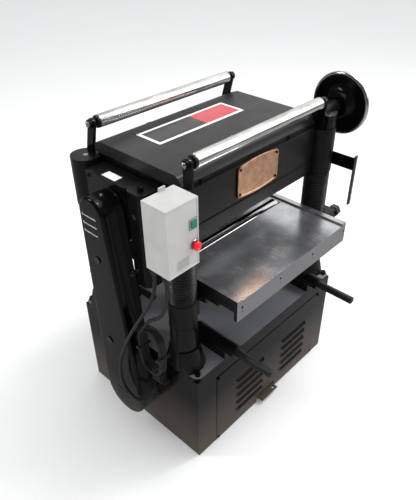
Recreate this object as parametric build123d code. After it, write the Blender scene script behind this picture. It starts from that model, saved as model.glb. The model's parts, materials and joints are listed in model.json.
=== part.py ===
from build123d import *
import os
from math import acos, atan2, cos, hypot, radians, sin, tan

# A 20-inch four-column thickness planer, in millimetres.
# X runs across the table towards the handwheel, Y runs along the feed towards the rear, Z is up.
# The origin is on the floor, at the centre of the cabinet's anchor holes.

# ---- clearances -------------------------------------------------------------------------------
running_fit = 0.05        # radial clearance of a shaft in its bore
slide_fit = 0.1           # radial clearance of a bar or sleeve that slides
loose_fit = 0.2           # clearance round a block in its pocket and a screw in its hole
face_gap = 0.3            # clearance between faces that pass each other

# ---- cabinet ----------------------------------------------------------------------------------
cabinet_width = 724
cabinet_depth = 558
cabinet_height = 363
cabinet_sheet = 3
bottom_flange = 60
top_flange = 40
anchor_inset_x = 42       # from the cabinet's side to the middle of an anchor hole
anchor_inset_y = 39
anchor_hole_r = 6.5
panel_left = -275
panel_right = 301
panel_bottom = 5
panel_top = 318
panel_sheet = 2
panel_lap = 14            # how far the panel laps over the edge of its opening
panel_screw_inset = 7
louvre_width = 142
louvre_height = 15
louvre_depth = 7
louvre_slot = 5
louvre_count = 5
louvre_pitch = 38
louvre_first_z = 66
louvre_columns = (-104, 149)
louvre_cheek = 3          # thickness of a louvre's closed ends
motor_hole_r = 45         # round the motor's shaft, in the cabinet's left wall
mouth_margin = 6          # beside the pedal, in the mouth that it passes through
mouth_top = 36
hanger_gap = 13           # from the pedal's side to the hanger of its shaft
hanger_sheet = 5
hanger_pad = 12           # how far a hanger reaches round the shaft

# ---- base casting -----------------------------------------------------------------------------
base_thickness = 12
base_corner_r = 24
column_x = 326
column_y = 191
boss_foot_r = 64
boss_lip_r = 47
boss_height = 76
sleeve_outer_r = 42.5
base_socket_r = 32
base_socket_depth = 38
column_foot_depth = 33
base_bolt_inset_x = 18
base_bolt_inset_y = 16
base_bolt_r = 6
base_bolt_head_r = 9
base_bolt_head_height = 12
base_bolt_length = 30
base_bolt_hole_depth = 40
boss_overhang = 4         # how far a corner boss may stand out over the cabinet's sides
lift_rib_width = 28       # of the rib that carries a lift bar's boss

# ---- columns and leadscrews -------------------------------------------------------------------
column_r = 27
column_bore_r = 17
column_top = 945
column_slot_width = 16
column_slot_margin = 8    # beyond the nut at each end of its travel
crown_disc = 10           # thickness of the disc that carries the crown gear
leadscrew_r = 10
leadscrew_journal_r = 8
leadscrew_bottom = 294
sprocket_pitch_r = 24
chain_thickness = 6
chain_width = 6
chain_level = 303

# ---- table ------------------------------------------------------------------------------------
table_half_width = 277
table_half_length = 355
table_top = 671
table_plate = 22
table_apron_bottom = 604
table_apron = 12
side_lip_width = 20
side_lip_height = 6
side_skirt = 14           # depth of the table's sides below the plate, at their ends
side_skirt_deep = 26      # and nearer the middle
side_skirt_inset = 70     # from the table's end to where its side gets deeper
side_drop_half = 44       # half the length of the side's full-depth stretch at a sleeve
cross_rib_width = 16
cross_rib_deeper = 20     # than the apron
long_rib_x = 90
long_rib_width = 12
roller_slot_gap = 1
roller_rib_width = 8      # of the rib on each side of a roller's slot
roller_rib_depth = 18
roller_seat = 10          # of iron left beyond a table roller's bearing hole
sleeve_ring = 7           # height of the raised ring round a sleeve
sleeve_ring_proud = 0.8
web_width = 16            # of the web and flanges that join a sleeve to the table
flange_width = 68
flange_height = 12
flange_below_top = 2
travel_up = 113
travel_down = 83
sleeve_top = 627
nut_r = 16
nut_height = 44
nut_level = 580           # middle of the nut
nut_arm_width = 14
table_roller_r = 18
table_roller_y = 90
table_roller_proud = 0.3
table_roller_half_length = 243
table_roller_journal_r = 8
table_roller_journal = 14 # length beyond the roller
edge_hole_x = (-255, -81, 86, 266)
edge_hole_r = 4
edge_hole_drop = 24       # of the upper row of holes, below the table's top
edge_hole_row = 14        # from the upper row to the small holes under it
lock_y = 245
lock_z = 629
lock_lug_face = 372
lock_stud_r = 6
lock_stud_depth = 26      # of the lock knob's stud, in its lug
lock_lug_above = 18       # of the lug round the stud's axis
lock_lug_below = 26
lock_lug_beyond = 14
lock_collar_r = 11
lock_collar = 4
knob_r = 22
knob_lobes = 6
knob_depth = 24
knob_lobe_r = 6

# ---- head -------------------------------------------------------------------------------------
head_bottom = 802
head_top = 961
head_front = -191
head_rear = 180
head_wall = 12
cheek_inner = 272
cheek_thickness = 18
socket_r = 45
socket_top = 955
lower_rim = 4             # how far the front and rear walls stop above the head's bottom
lip_drop = 5              # of the stepped lower lip, below the head's bottom
lip_setback = 3
line_half_length = 278
lip_half_length = 270
line_low = 839            # the lower frame line, at its bottom
line_width = 5
line_top_width = 4
chute_bottom = 830
chute_top = 905
chute_inset = 12          # of the chute's ends from the hood's ends
lug_half_width = 9
lug_depth = 8
lug_foot = 10             # of a cover lug, down into the wall
cover_screw_z = 966
cut_level = 790
cutter_y = 25
cutter_r = 45
cutter_body_r = 43
cutter_half_length = 254
cutter_journal_r = 20
cutter_shaft_r = 12
cutter_bearing_r = 31
knife_count = 3
knife_thickness = 3.2
knife_depth = 23
feed_roller_r = 24
feed_roller_half_length = 256
feed_roller_below_cut = 0.5
feed_journal_r = 12
infeed_y = -70
outfeed_y = 108
block_width = 36
block_height = 40
breaker_pivot_y = -36
breaker_pivot_z = 905
breaker_pivot_r = 6
breaker_thickness = 6
breaker_foot = 10         # width of the chip breaker's foot
breaker_foot_height = 8
over_cut = 1              # from the knives' level up to the chip breaker and the pressure bar
pressure_bar_y = 76
pressure_bar_thickness = 6
pressure_bar_top = 880
finger_rod_y = -152
finger_rod_z = 836
finger_rod_r = 6
finger_eye_r = 10
finger_width = 8
finger_pitch = 20
finger_count = 25
finger_reach = 47
finger_tip_r = 3

# ---- covers on the head -----------------------------------------------------------------------
cover_half_width = 299
cover_sheet = 3
cover_top = 996
cover_front = -180
hood_rear = 225
hood_half_width = 200
port_r = 62.5
port_wall = 2.5
port_length = 65
port_z = 868
hood_top_front = 958      # the hood's sloping top, at the head and at its rear wall
hood_top_rear = 940
hood_pillar_r = 7
name_plate_thickness = 1
badge_screw_inset_x = 9
badge_screw_inset_z = 8
screw_r = 2.5
screw_head_r = 5
screw_head = 3
screw_length = 8
badge_screw_head_r = 3.5
badge_screw_head = 2
plate_left = -197
plate_right = 170
plate_front = 11
plate_rear = 113
badge_left = -98
badge_right = 85
badge_bottom = 862
badge_top = 956
badge_bow = 8
badge_thickness = 3
frame_line = 3            # how far the frame lines and the badge's pad stand out of the front face

# ---- return rollers ---------------------------------------------------------------------------
return_roller_r = 19
return_roller_half_length = 282
return_roller_z = 1042
return_front_y = -200
return_rear_y = 182
return_axle_r = 8
bracket_rear_foot_y = 205
bracket_inner = 290.5
bracket_thickness = 10
bracket_width = 30
axle_head_r = 13
axle_head = 7

# ---- feed drive on the left side --------------------------------------------------------------
side_cover_left = -366
side_cover_right = -300
side_cover_front = -29
side_cover_rear = 142
side_cover_top = 940
side_cover_bottom = 775
gearbox_left = -376
gearbox_right = -300
gearbox_front = -106
gearbox_rear = -33
gearbox_bottom = 640
gearbox_top = 944
gearbox_wall = 5
gearbox_chamfer = 16
filler_plug_r = 8
filler_plug_height = 6
filler_plug_inset = (26, 30)
gearbox_flange = 14       # of the housing's flange on the head
gearbox_flange_top = 930
chain_case_bottom = 780   # inside of the case that the feed chain runs in
chain_case_top = 900
feed_shaft_z = 872
feed_shaft_r = 8
feed_sprocket_r = 18
roller_sprocket_r = 24
feed_chain_x = -324
chain_mouth = 24          # width of the mouths that the feed chain passes through
feed_gear_left = -362
feed_gear_right = -344
feed_gear_r = 17
screw_block = 12          # width of the blocks that take the side cover's screws
shaft_hole_margin = 3
speed_knob_y = -70
speed_knob_z = 699
speed_knob_r = 11
speed_rod_r = 4
speed_rod_outside = 18
speed_rod_inside = 26
speed_knob_offset = 24    # of the ball's middle from the gearbox

# ---- belt drive -------------------------------------------------------------------------------
guard_left = -450
guard_right = -378
guard_sheet = 3
guard_top_y = 22
guard_top_z = 873
guard_top_r = 52
guard_bottom_y = -18
guard_bottom_z = 200
guard_bottom_r = 88
pulley_left = -438
pulley_right = -390
cutter_pulley_r = 38
motor_pulley_r = 66
belt_count = 3
belt_pitch = 15
belt_width = 12
belt_thickness = 8
motor_r = 85
motor_left = -300
motor_right = -40
motor_shaft_r = 14
motor_foot_half = 45
motor_feet = ((-280, -255), (-95, -70))
motor_shaft_depth = 55    # of the rotor's shaft, inside the motor
guard_slot_half = 3
guard_slots = (((0, 58), (867, 841, 815)), ((-43, 18), (155, 180, 205)))
guard_posts = ((-70, 300), (50, 300))
guard_post_r = 10
guard_stay = (50, 900)    # the upper post, between the guard's plate and the side cover
guard_stay_r = 8
guard_screw_post_r = 6
guard_motor_hole_r = 30

# ---- switch box -------------------------------------------------------------------------------
box_left = -465
box_right = -363
box_front = -299
box_rear = -218
box_bottom = 831
box_top = 1019
box_wall = 3
start_x = -381
start_z = 953
start_width = 17
start_height = 21
stop_x = -378
stop_z = 893
stop_r = 12
button_stem_r = 8
button_flange = 3
button_travel = 3
start_proud = 4           # of the start button, out of the box
start_depth = 6           # of its square stem behind the box's face
stop_proud = 16
stop_cap = 10
latch_left = -412
latch_right = -392
latch_height = 10
latch_depth = 4
arm_sheet = 4             # of the bracket that holds the box on the column socket
arm_bottom = 870
arm_top = 930
arm_inset = 20
arm_right = -352
arm_block = 20
arm_rear = -198

# ---- elevation drive --------------------------------------------------------------------------
wheel_z = 1003
housing_r = 42
housing_top = 1000
housing_lid = 1.5
housing_floor = 8
housing_gear_gap = 2      # round the gears, inside the housing
barrel_cap = 25           # of solid barrel round the handwheel's shaft
barrel_r = 22
barrel_bore_r = 14
barrel_left = 300
barrel_right = 384
wheel_shaft_r = 8
wheel_r = 100
wheel_rim_x = 420
bevel_small_r = 5.6       # of the handwheel's bevel gear, at its small and large ends
bevel_large_r = 8.4
bevel_length = 14
crown_r = 21              # of the leadscrew's bevel gear; 2.5 turns of the wheel turn it once
crank_offset = 50         # of the crank pin from the wheel's axis, along Y and along Z
crank_boss = 13           # from the rim's plane to the end of the crank's boss
crank_pin_r = 5
crank_grip_r = 14
crank_grip_length = 80
crank_boss_r = 12
crank_cap_r = 8
crank_cap = 4
wheel_boss_r = 20

scale_pad_x = 371         # outer face of the head's pad for the depth scale
scale_front = -302
scale_bottom = 684
scale_top = 865
scale_sheet = 3
scale_strip_left = 7      # how far the strip reaches inwards and outwards of the pad's face
scale_strip_right = 13
scale_pad_rear = -176
scale_pad_front = -207
scale_pad_bottom = 812
scale_pad_top = 857
scale_pad_left = 360

# ---- lift bars, pedal -------------------------------------------------------------------------
lift_bar_x = 225
lift_bar_z = 423
lift_bar_r = 13
lift_bar_length = 250
lift_bar_stroke = 140
lift_bar_tip = 452
lift_boss_r = 23
lift_boss_front = 317
lift_boss_back = 150
pedal_left = -50
pedal_right = 40
pedal_front = -304
pedal_level = 20
pedal_pivot_y = -170
pedal_pivot_z = 34
pedal_shaft_r = 6
caster_y = -232
caster_r = 24
caster_width = 22
caster_lift = 3           # height of the raised caster above the floor
caster_axle_r = 5
pedal_rear = -264
pedal_plate = 5
pedal_tread = 1.5
pedal_tread_ys = range(-300, -284, 5)
pedal_hole_r = 5
pedal_hole_y = -293
pedal_hole_inset = 14
pedal_arm_inset = 12
pedal_arm = 6
pedal_shaft_reach = 20    # beyond each side of the pedal

# ---- cables: routes are points that the cable bends round, in order from the gland --------------
gland_thread_r = 8
gland_thread = 9
gland_r = 11
gland_nut = 10
gland_dome = 14
box_glands = ((-452, -229), (-452, -272))
lead_gland_y = -142
lead_gland_z = 277
cable_r = 5
motor_lead_route = [(-452, -229, 807), (-452, -229, 768), (-455, -214, 715), (-459, -182, 655), (-462, -145, 592),
                    (-465, -108, 525), (-467, -76, 455), (-469, -52, 390), (-469, -40, 328), (-469, -48, 275),
                    (-466, -80, 243), (-457, -114, 232), (-446, -133, 243), (-432, -141, 264), (-412, -142, 277),
                    (-386, -142, 277)]
supply_cord_route = [(-452, -272, 807), (-452, -272, 768), (-450, -262, 718), (-445, -236, 668), (-438, -199, 628),
                     (-434, -167, 602), (-432, -150, 574), (-432, -150, 545)]
hank_x = -417
hank_y = -150
hank_top = 545
hank_width = 96
hank_height = 176
hank_depth = 48
hank_band = 22            # width of the bundled turns
plug_x = -402             # under the last turn of the hank
plug_strain_relief = 16
plug_body = 30
plug_half_width = 13
plug_half_length = 17
plug_pin = 18
plug_pin_spread = 7
plug_earth_r = 2.5

# ---- worked out from the sizes above ----------------------------------------------------------
half_x = cabinet_width / 2
half_y = cabinet_depth / 2
base_top = cabinet_height + base_thickness
boss_lip = base_top + boss_height
boss_bore_r = sleeve_outer_r + 0.5
sleeve_bottom = boss_lip - 0.5
sleeve_band = boss_lip + travel_down + 2      # the sleeve's ring and the foot of its web, clear of the boss
bellows_r = sleeve_outer_r + 0.5
boss_floor = sleeve_bottom - travel_down - 0.5
cutter_z = cut_level + cutter_r
feed_roller_z = cut_level + feed_roller_r - feed_roller_below_cut
cheek_outer = cheek_inner + cheek_thickness
table_roller_z = table_top + table_roller_proud - table_roller_r
corners = [(sx, sy) for sx in (-1, 1) for sy in (-1, 1)]
corner_names = {(-1, -1): "front_left", (1, -1): "front_right", (-1, 1): "rear_left", (1, 1): "rear_right"}


# ---- small helpers ----------------------------------------------------------------------------
def block(x0, x1, y0, y1, z0, z1):
    """A box given by its limits."""
    size = Box(abs(x1 - x0), abs(y1 - y0), abs(z1 - z0))
    return Pos((x0 + x1) / 2, (y0 + y1) / 2, (z0 + z1) / 2) * size


def rod_x(x0, x1, y, z, r):
    return Pos((x0 + x1) / 2, y, z) * Rot(0, 90, 0) * Cylinder(r, abs(x1 - x0))


def rod_y(y0, y1, x, z, r):
    return Pos(x, (y0 + y1) / 2, z) * Rot(90, 0, 0) * Cylinder(r, abs(y1 - y0))


def rod_z(z0, z1, x, y, r):
    return Pos(x, y, (z0 + z1) / 2) * Cylinder(r, abs(z1 - z0))


def cone_z(z0, z1, x, y, r0, r1):
    return Pos(x, y, (z0 + z1) / 2) * Cone(r0, r1, z1 - z0)


def prism_x(points, x0, x1):
    """A polygon of (y, z) points, extruded from x0 to x1."""
    face = make_face(Polyline(*points, close=True))
    return extrude(Plane.YZ.offset(x0) * face, amount=x1 - x0)


def round_hull(circles):
    """The face inside a belt that runs round circles given as (u, v, r), named anticlockwise."""
    face = Sketch()
    tangents = []
    for (u0, v0, r0), (u1, v1, r1) in zip(circles, circles[1:] + circles[:1]):
        heading = atan2(v1 - v0, u1 - u0)
        lean = acos((r0 - r1) / hypot(u1 - u0, v1 - v0))
        for u, v, r in ((u0, v0, r0), (u1, v1, r1)):
            tangents.append((u + r * cos(heading - lean), v + r * sin(heading - lean)))
    face += make_face(Polyline(*tangents, close=True))
    for u, v, r in circles:
        face += Pos(u, v) * Circle(r)
    return face


def hull_x(circles, x0, x1):
    """A belt-shaped solid round circles given as (y, z, r), from x0 to x1."""
    return extrude(Plane.YZ.offset(x0) * round_hull(circles), amount=x1 - x0)


def grow(circles, amount):
    return [(u, v, r + amount) for u, v, r in circles]


def spin_x(points, y, z):
    """A solid turned about the line along X through (y, z), from a profile of (x, radius) points."""
    face = make_face(Polyline(*points, close=True))
    turned = revolve(face, Axis.X, 360)
    return Pos(0, y, z) * turned


def screw(at, facing, shank_r=screw_r, shank=screw_length, head_r=screw_head_r, head=screw_head):
    """A pan-head screw whose head stands on the point at and faces away from the part."""
    body = Pos(0, 0, head / 2) * Cylinder(head_r, head) + Pos(0, 0, -shank / 2) * Cylinder(shank_r, shank)
    return Plane(at, z_dir=facing) * body


def screw_hole(at, facing, shank_r=screw_r, shank=screw_length):
    """The clearance hole of a screw, through the sheet and into what is behind it."""
    hole = Cylinder(shank_r + loose_fit, 2 * shank + 2 * face_gap)
    return Plane(at, z_dir=facing) * hole


def drill(solid, places, **sizes):
    for at, facing in places:
        solid -= screw_hole(at, facing, **sizes)
    return solid


# ---- where the screws sit: a point on the outside face and the way the head faces ---------------
panel_face = -half_y - panel_sheet
panel_screws = [((x, panel_face, z), (0, -1, 0))
                for x in (panel_left + panel_screw_inset, panel_right - panel_screw_inset)
                for z in (panel_bottom + panel_screw_inset, panel_top - panel_screw_inset)]
cover_screws = [((x, cover_front, cover_screw_z), (0, -1, 0)) for x in (-233, 152)]
cover_screws += [((x, head_rear, cover_screw_z), (0, 1, 0)) for x in (-250, 250)]
hood_screws = [((x, hood_rear, z), (0, 1, 0)) for x in (-170, 170) for z in (815, 920)]
badge_screws = [((x, head_front - frame_line - badge_thickness, z), (0, -1, 0))
                for x in (badge_left + badge_screw_inset_x, badge_right - badge_screw_inset_x)
                for z in (badge_bottom + badge_screw_inset_z, badge_top - badge_screw_inset_z)]
guard_screws = [((guard_left, y, z), (-1, 0, 0)) for y, z in ((20, 415), (18, 728))]
side_screws = [((side_cover_left, y, z), (-1, 0, 0)) for y, z in ((128, 925), (-18, 925))]


# ---- cabinet ----------------------------------------------------------------------------------
def ring_flange(z0, z1, width):
    outer = block(-half_x, half_x, -half_y, half_y, z0, z1)
    return outer - block(-half_x + width, half_x - width, -half_y + width, half_y - width, z0 - 1, z1 + 1)


def make_cabinet():
    t = cabinet_sheet
    walls = block(-half_x, half_x, -half_y, half_y, 0, cabinet_height)
    walls -= block(-half_x + t, half_x - t, -half_y + t, half_y - t, -1, cabinet_height + 1)
    body = walls + ring_flange(0, t, bottom_flange) + ring_flange(cabinet_height - t, cabinet_height, top_flange)
    body -= block(panel_left + panel_lap, panel_right - panel_lap, -half_y - 1, -half_y + t + 1,
                  panel_bottom + 2 * panel_lap, panel_top - panel_lap)
    # a hole for the motor's shaft, one for the motor lead's gland, and a mouth for the pedal
    body -= rod_x(-half_x - 1, -half_x + t + 1, guard_bottom_y, guard_bottom_z, motor_hole_r)
    body -= rod_x(-half_x - 1, -half_x + t + 1, lead_gland_y, lead_gland_z, gland_thread_r + loose_fit)
    body -= block(pedal_left - mouth_margin, pedal_right + mouth_margin, -half_y - 1, -half_y + bottom_flange + 1,
                  -1, mouth_top)
    for sx, sy in corners:
        body -= rod_z(-1, t + 1, sx * (half_x - anchor_inset_x), sy * (half_y - anchor_inset_y), anchor_hole_r)
        x, y = sx * (half_x - base_bolt_inset_x), sy * (half_y - base_bolt_inset_y)
        body -= rod_z(cabinet_height - base_bolt_hole_depth, cabinet_height + 1, x, y, base_bolt_r + loose_fit)
        body -= rod_z(cabinet_height - t - 1, cabinet_height + 1, sx * column_x, sy * column_y,
                      base_socket_r + loose_fit)
    # two hangers for the pedal's pivot shaft
    for x in (pedal_left - hanger_gap - hanger_sheet, pedal_right + hanger_gap):
        body += block(x, x + hanger_sheet, -half_y + t, pedal_pivot_y + hanger_pad, t, pedal_pivot_z + hanger_pad)
        body -= rod_x(x - 1, x + hanger_sheet + 1, pedal_pivot_y, pedal_pivot_z, pedal_shaft_r + running_fit)
    # louvre slots through the back wall
    for x in louvre_columns:
        for row in range(louvre_count):
            z = louvre_first_z + row * louvre_pitch
            body -= block(x - louvre_width / 2, x + louvre_width / 2, half_y - t - 1, half_y + 1, z, z + louvre_slot)
    return drill(body, panel_screws)


def make_front_panel():
    panel = block(panel_left, panel_right, panel_face, -half_y, panel_bottom, panel_top)
    for x in louvre_columns:
        for row in range(louvre_count):
            z = louvre_first_z + row * louvre_pitch
            hood = prism_x([(panel_face, z + louvre_height), (panel_face - louvre_depth, z), (panel_face, z)],
                           x - louvre_width / 2, x + louvre_width / 2)
            panel += hood
            inside = louvre_width / 2 - louvre_cheek
            panel -= block(x - inside, x + inside, panel_face - louvre_depth, -half_y + 1, z - louvre_slot, z)
    panel -= block(pedal_left - mouth_margin, pedal_right + mouth_margin, panel_face - 1, -half_y + 1, 0, mouth_top)
    return drill(panel, panel_screws)


# ---- base casting -----------------------------------------------------------------------------
def make_base_casting():
    plate = extrude(RectangleRounded(cabinet_width, cabinet_depth, base_corner_r), amount=base_thickness)
    base = Pos(0, 0, cabinet_height) * plate
    reach_x, reach_y = half_x + boss_overhang, half_y + boss_overhang
    limits = block(-reach_x, reach_x, -reach_y, reach_y, 0, boss_lip)
    for sx, sy in corners:
        x, y = sx * column_x, sy * column_y
        base += cone_z(base_top, boss_lip, x, y, boss_foot_r, boss_lip_r) & limits
        base += rod_z(cabinet_height - base_socket_depth, cabinet_height, x, y, base_socket_r)
    for sx, sy in corners:
        x, y = sx * lift_bar_x, sy * (lift_boss_front + lift_boss_back) / 2
        length = (lift_boss_front - lift_boss_back) / 2
        base += rod_y(y - length, y + length, x, lift_bar_z, lift_boss_r)
        low_y = min(sy * half_y, sy * lift_boss_back)
        base += block(x - lift_rib_width / 2, x + lift_rib_width / 2, low_y, low_y + half_y - lift_boss_back,
                      base_top, lift_bar_z)
    for sx, sy in corners:
        x, y = sx * column_x, sy * column_y
        base -= rod_z(boss_floor, boss_lip + 1, x, y, boss_bore_r)
        base -= rod_z(cabinet_height - column_foot_depth, boss_lip, x, y, column_r)
        base -= rod_z(0, boss_lip, x, y, leadscrew_r + running_fit)
        base -= rod_z(0, base_top + 1, sx * (half_x - base_bolt_inset_x), sy * (half_y - base_bolt_inset_y),
                      base_bolt_r + loose_fit)
        base -= rod_y(sy * (lift_boss_back - 1), sy * (lift_boss_front + 1), sx * lift_bar_x, lift_bar_z,
                      lift_bar_r + slide_fit)
    return base


# ---- columns, leadscrews ----------------------------------------------------------------------
def make_columns():
    columns = []
    for sx, sy in corners:
        x, y = sx * column_x, sy * column_y
        tube = rod_z(cabinet_height - column_foot_depth, column_top, x, y, column_r)
        tube -= rod_z(0, column_top + 1, x, y, column_bore_r)
        low = nut_level - nut_height / 2 - travel_down - column_slot_margin
        high = nut_level + nut_height / 2 + travel_up + column_slot_margin
        tube -= block(x - sx * column_bore_r / 2, x - sx * (column_r + 5),
                      y - column_slot_width / 2, y + column_slot_width / 2, low, high)
        columns.append(tube)
    return columns


def make_leadscrew(sx, sy):
    x, y = sx * column_x, sy * column_y
    screw_body = rod_z(leadscrew_bottom, column_top - face_gap, x, y, leadscrew_r)
    sprocket_r = sprocket_pitch_r - chain_thickness / 2 - face_gap
    screw_body += rod_z(chain_level - chain_width / 2, chain_level + chain_width / 2, x, y, sprocket_r)
    if (sx, sy) == (1, -1):
        # this one goes on up into the elevating gearbox and carries the crown bevel gear
        gear_edge = wheel_z - bevel_large_r - face_gap
        gear_top = wheel_z - bevel_small_r - face_gap
        screw_body += rod_z(column_top - 1, gear_edge - crown_disc, x, y, leadscrew_journal_r)
        screw_body += rod_z(gear_edge - crown_disc, gear_edge, x, y, crown_r)
        screw_body += cone_z(gear_edge, gear_top, x, y, crown_r, crown_r - bevel_length)
    else:
        screw_body += rod_z(column_top - 1, socket_top, x, y, leadscrew_journal_r)
    return screw_body


def make_chains():
    """The elevating chain under the base, and the feed chain beside the head."""
    width, depth = 2 * (column_x + sprocket_pitch_r), 2 * (column_y + sprocket_pitch_r)
    half = chain_thickness / 2
    outer = RectangleRounded(width + 2 * half, depth + 2 * half, sprocket_pitch_r + half)
    inner = RectangleRounded(width - 2 * half, depth - 2 * half, sprocket_pitch_r - half)
    lifting = Pos(0, 0, chain_level - chain_width / 2) * extrude(outer - inner, amount=chain_width)
    x0, x1 = feed_chain_x - chain_width / 2, feed_chain_x + chain_width / 2
    run = [(infeed_y, feed_roller_z, roller_sprocket_r), (outfeed_y, feed_roller_z, roller_sprocket_r),
           (infeed_y, feed_shaft_z, feed_sprocket_r)]
    feed = hull_x(grow(run, half), x0, x1) - hull_x(grow(run, -half), x0, x1)
    return [lifting, feed]


# ---- table ------------------------------------------------------------------------------------
def make_table():
    w, n, t = table_half_width, table_half_length, table_apron
    under = table_top - table_plate
    table = block(-w, w, -n, n, under, table_top)
    for sx in (-1, 1):
        table += block(sx * (w - side_lip_width), sx * w, -n, n, table_top, table_top + side_lip_height)
        table += block(sx * (w - t), sx * w, -n, n, under - side_skirt, under)
        table += block(sx * (w - t), sx * w, -n + side_skirt_inset, n - side_skirt_inset, under - side_skirt_deep, under)
        table += block(sx * (w - t), sx * w, -column_y - side_drop_half, column_y + side_drop_half,
                       table_apron_bottom, under)
    for sy in (-1, 1):
        table += block(-w, w, sy * (n - t), sy * n, table_apron_bottom, under)
        table += block(-w + t, w - t, sy * column_y - cross_rib_width / 2, sy * column_y + cross_rib_width / 2,
                       table_apron_bottom - cross_rib_deeper, under)
    for x in (-long_rib_x, long_rib_x):
        table += block(x - long_rib_width / 2, x + long_rib_width / 2, -n + t, n - t, table_apron_bottom, under)
    # roller slots, with the ribs cut away round them
    for sy in (-1, 1):
        y, half = sy * table_roller_y, table_roller_r + roller_slot_gap
        span = table_roller_half_length + roller_slot_gap
        table += block(-w + t, w - t, y - half - roller_rib_width, y + half + roller_rib_width,
                       under - roller_rib_depth, under)
        table -= block(-span, span, y - half, y + half, table_apron_bottom - 1, table_top + 1)
        table -= rod_x(-w + roller_seat, w - roller_seat, y, table_roller_z, table_roller_journal_r + running_fit)
    # a sleeve round each column, joined to the side of the table by a web and two flanges
    for sx, sy in corners:
        x, y = sx * column_x, sy * column_y
        table += rod_z(sleeve_bottom, sleeve_top, x, y, sleeve_outer_r)
        table += rod_z(sleeve_band, sleeve_band + sleeve_ring, x, y, sleeve_outer_r + sleeve_ring_proud)
        table += block(sx * (w - t), x, y - web_width / 2, y + web_width / 2, sleeve_band, sleeve_top)
        flange_top = sleeve_top - flange_below_top
        table += block(sx * (w - t), x, y - flange_width / 2, y + flange_width / 2,
                       flange_top - flange_height, flange_top)
    for sy in (-1, 1):
        table += block(column_x, lock_lug_face, sy * (column_y + 10), sy * (lock_y + lock_lug_beyond),
                       lock_z - lock_lug_below, lock_z + lock_lug_above)
    for sx, sy in corners:
        x, y = sx * column_x, sy * column_y
        table -= rod_z(sleeve_bottom - 1, table_top, x, y, column_r + running_fit)
        table -= rod_z(sleeve_top, table_top, x, y, bellows_r + 1)
        table -= nut_arm(sx, sy, loose_fit)
    for sy in (-1, 1):
        table -= rod_x(lock_lug_face - lock_stud_depth - 6, lock_lug_face + 1, sy * lock_y, lock_z,
                       lock_stud_r + running_fit)
    for x in edge_hole_x:
        table -= rod_y(-n - 1, -n + t - 2, x, table_top - edge_hole_drop, edge_hole_r)
        table -= rod_y(-n - 1, -n + t - 4, x, table_top - edge_hole_drop - edge_hole_row, edge_hole_r / 2)
    return table


def nut_arm(sx, sy, grown):
    """The arm that joins a nut inside a column to the sleeve outside it."""
    x, y = sx * column_x, sy * column_y
    half = nut_arm_width / 2 + grown
    return block(x - sx * (leadscrew_r + 2), x - sx * (column_r + 8 + grown), y - half, y + half,
                 nut_level - nut_height / 2 - grown, nut_level + nut_height / 2 + grown)


def make_lift_nuts():
    nuts = []
    for sx, sy in corners:
        x, y = sx * column_x, sy * column_y
        nut = rod_z(nut_level - nut_height / 2, nut_level + nut_height / 2, x, y, nut_r) + nut_arm(sx, sy, 0)
        nuts.append(nut - rod_z(0, 1000, x, y, leadscrew_r + running_fit))
    return nuts


def make_table_roller(sy):
    y, half = sy * table_roller_y, table_roller_half_length
    roller = rod_x(-half, half, y, table_roller_z, table_roller_r)
    reach = half + table_roller_journal
    return roller + rod_x(-reach, reach, y, table_roller_z, table_roller_journal_r)


def make_lock_knob(sy):
    y, face = sy * lock_y, lock_lug_face + face_gap
    inner = face + lock_collar
    knob = rod_x(inner, inner + knob_depth, y, lock_z, knob_r - 4)
    lobe_at = knob_r - knob_lobe_r
    for i in range(knob_lobes):
        turn = radians(360 / knob_lobes * i)
        knob += rod_x(inner + 2, inner - 2 + knob_depth, y + lobe_at * cos(turn), lock_z + lobe_at * sin(turn),
                      knob_lobe_r)
    knob += rod_x(face, inner, y, lock_z, lock_collar_r)
    return knob + rod_x(lock_lug_face - lock_stud_depth, inner, y, lock_z, lock_stud_r)


def make_bellows():
    tubes = []
    for sx, sy in corners:
        x, y = sx * column_x, sy * column_y
        tube = rod_z(sleeve_top + face_gap, head_bottom, x, y, bellows_r)
        tubes.append(tube - rod_z(0, 1000, x, y, column_r + 9))
    return tubes


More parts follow.
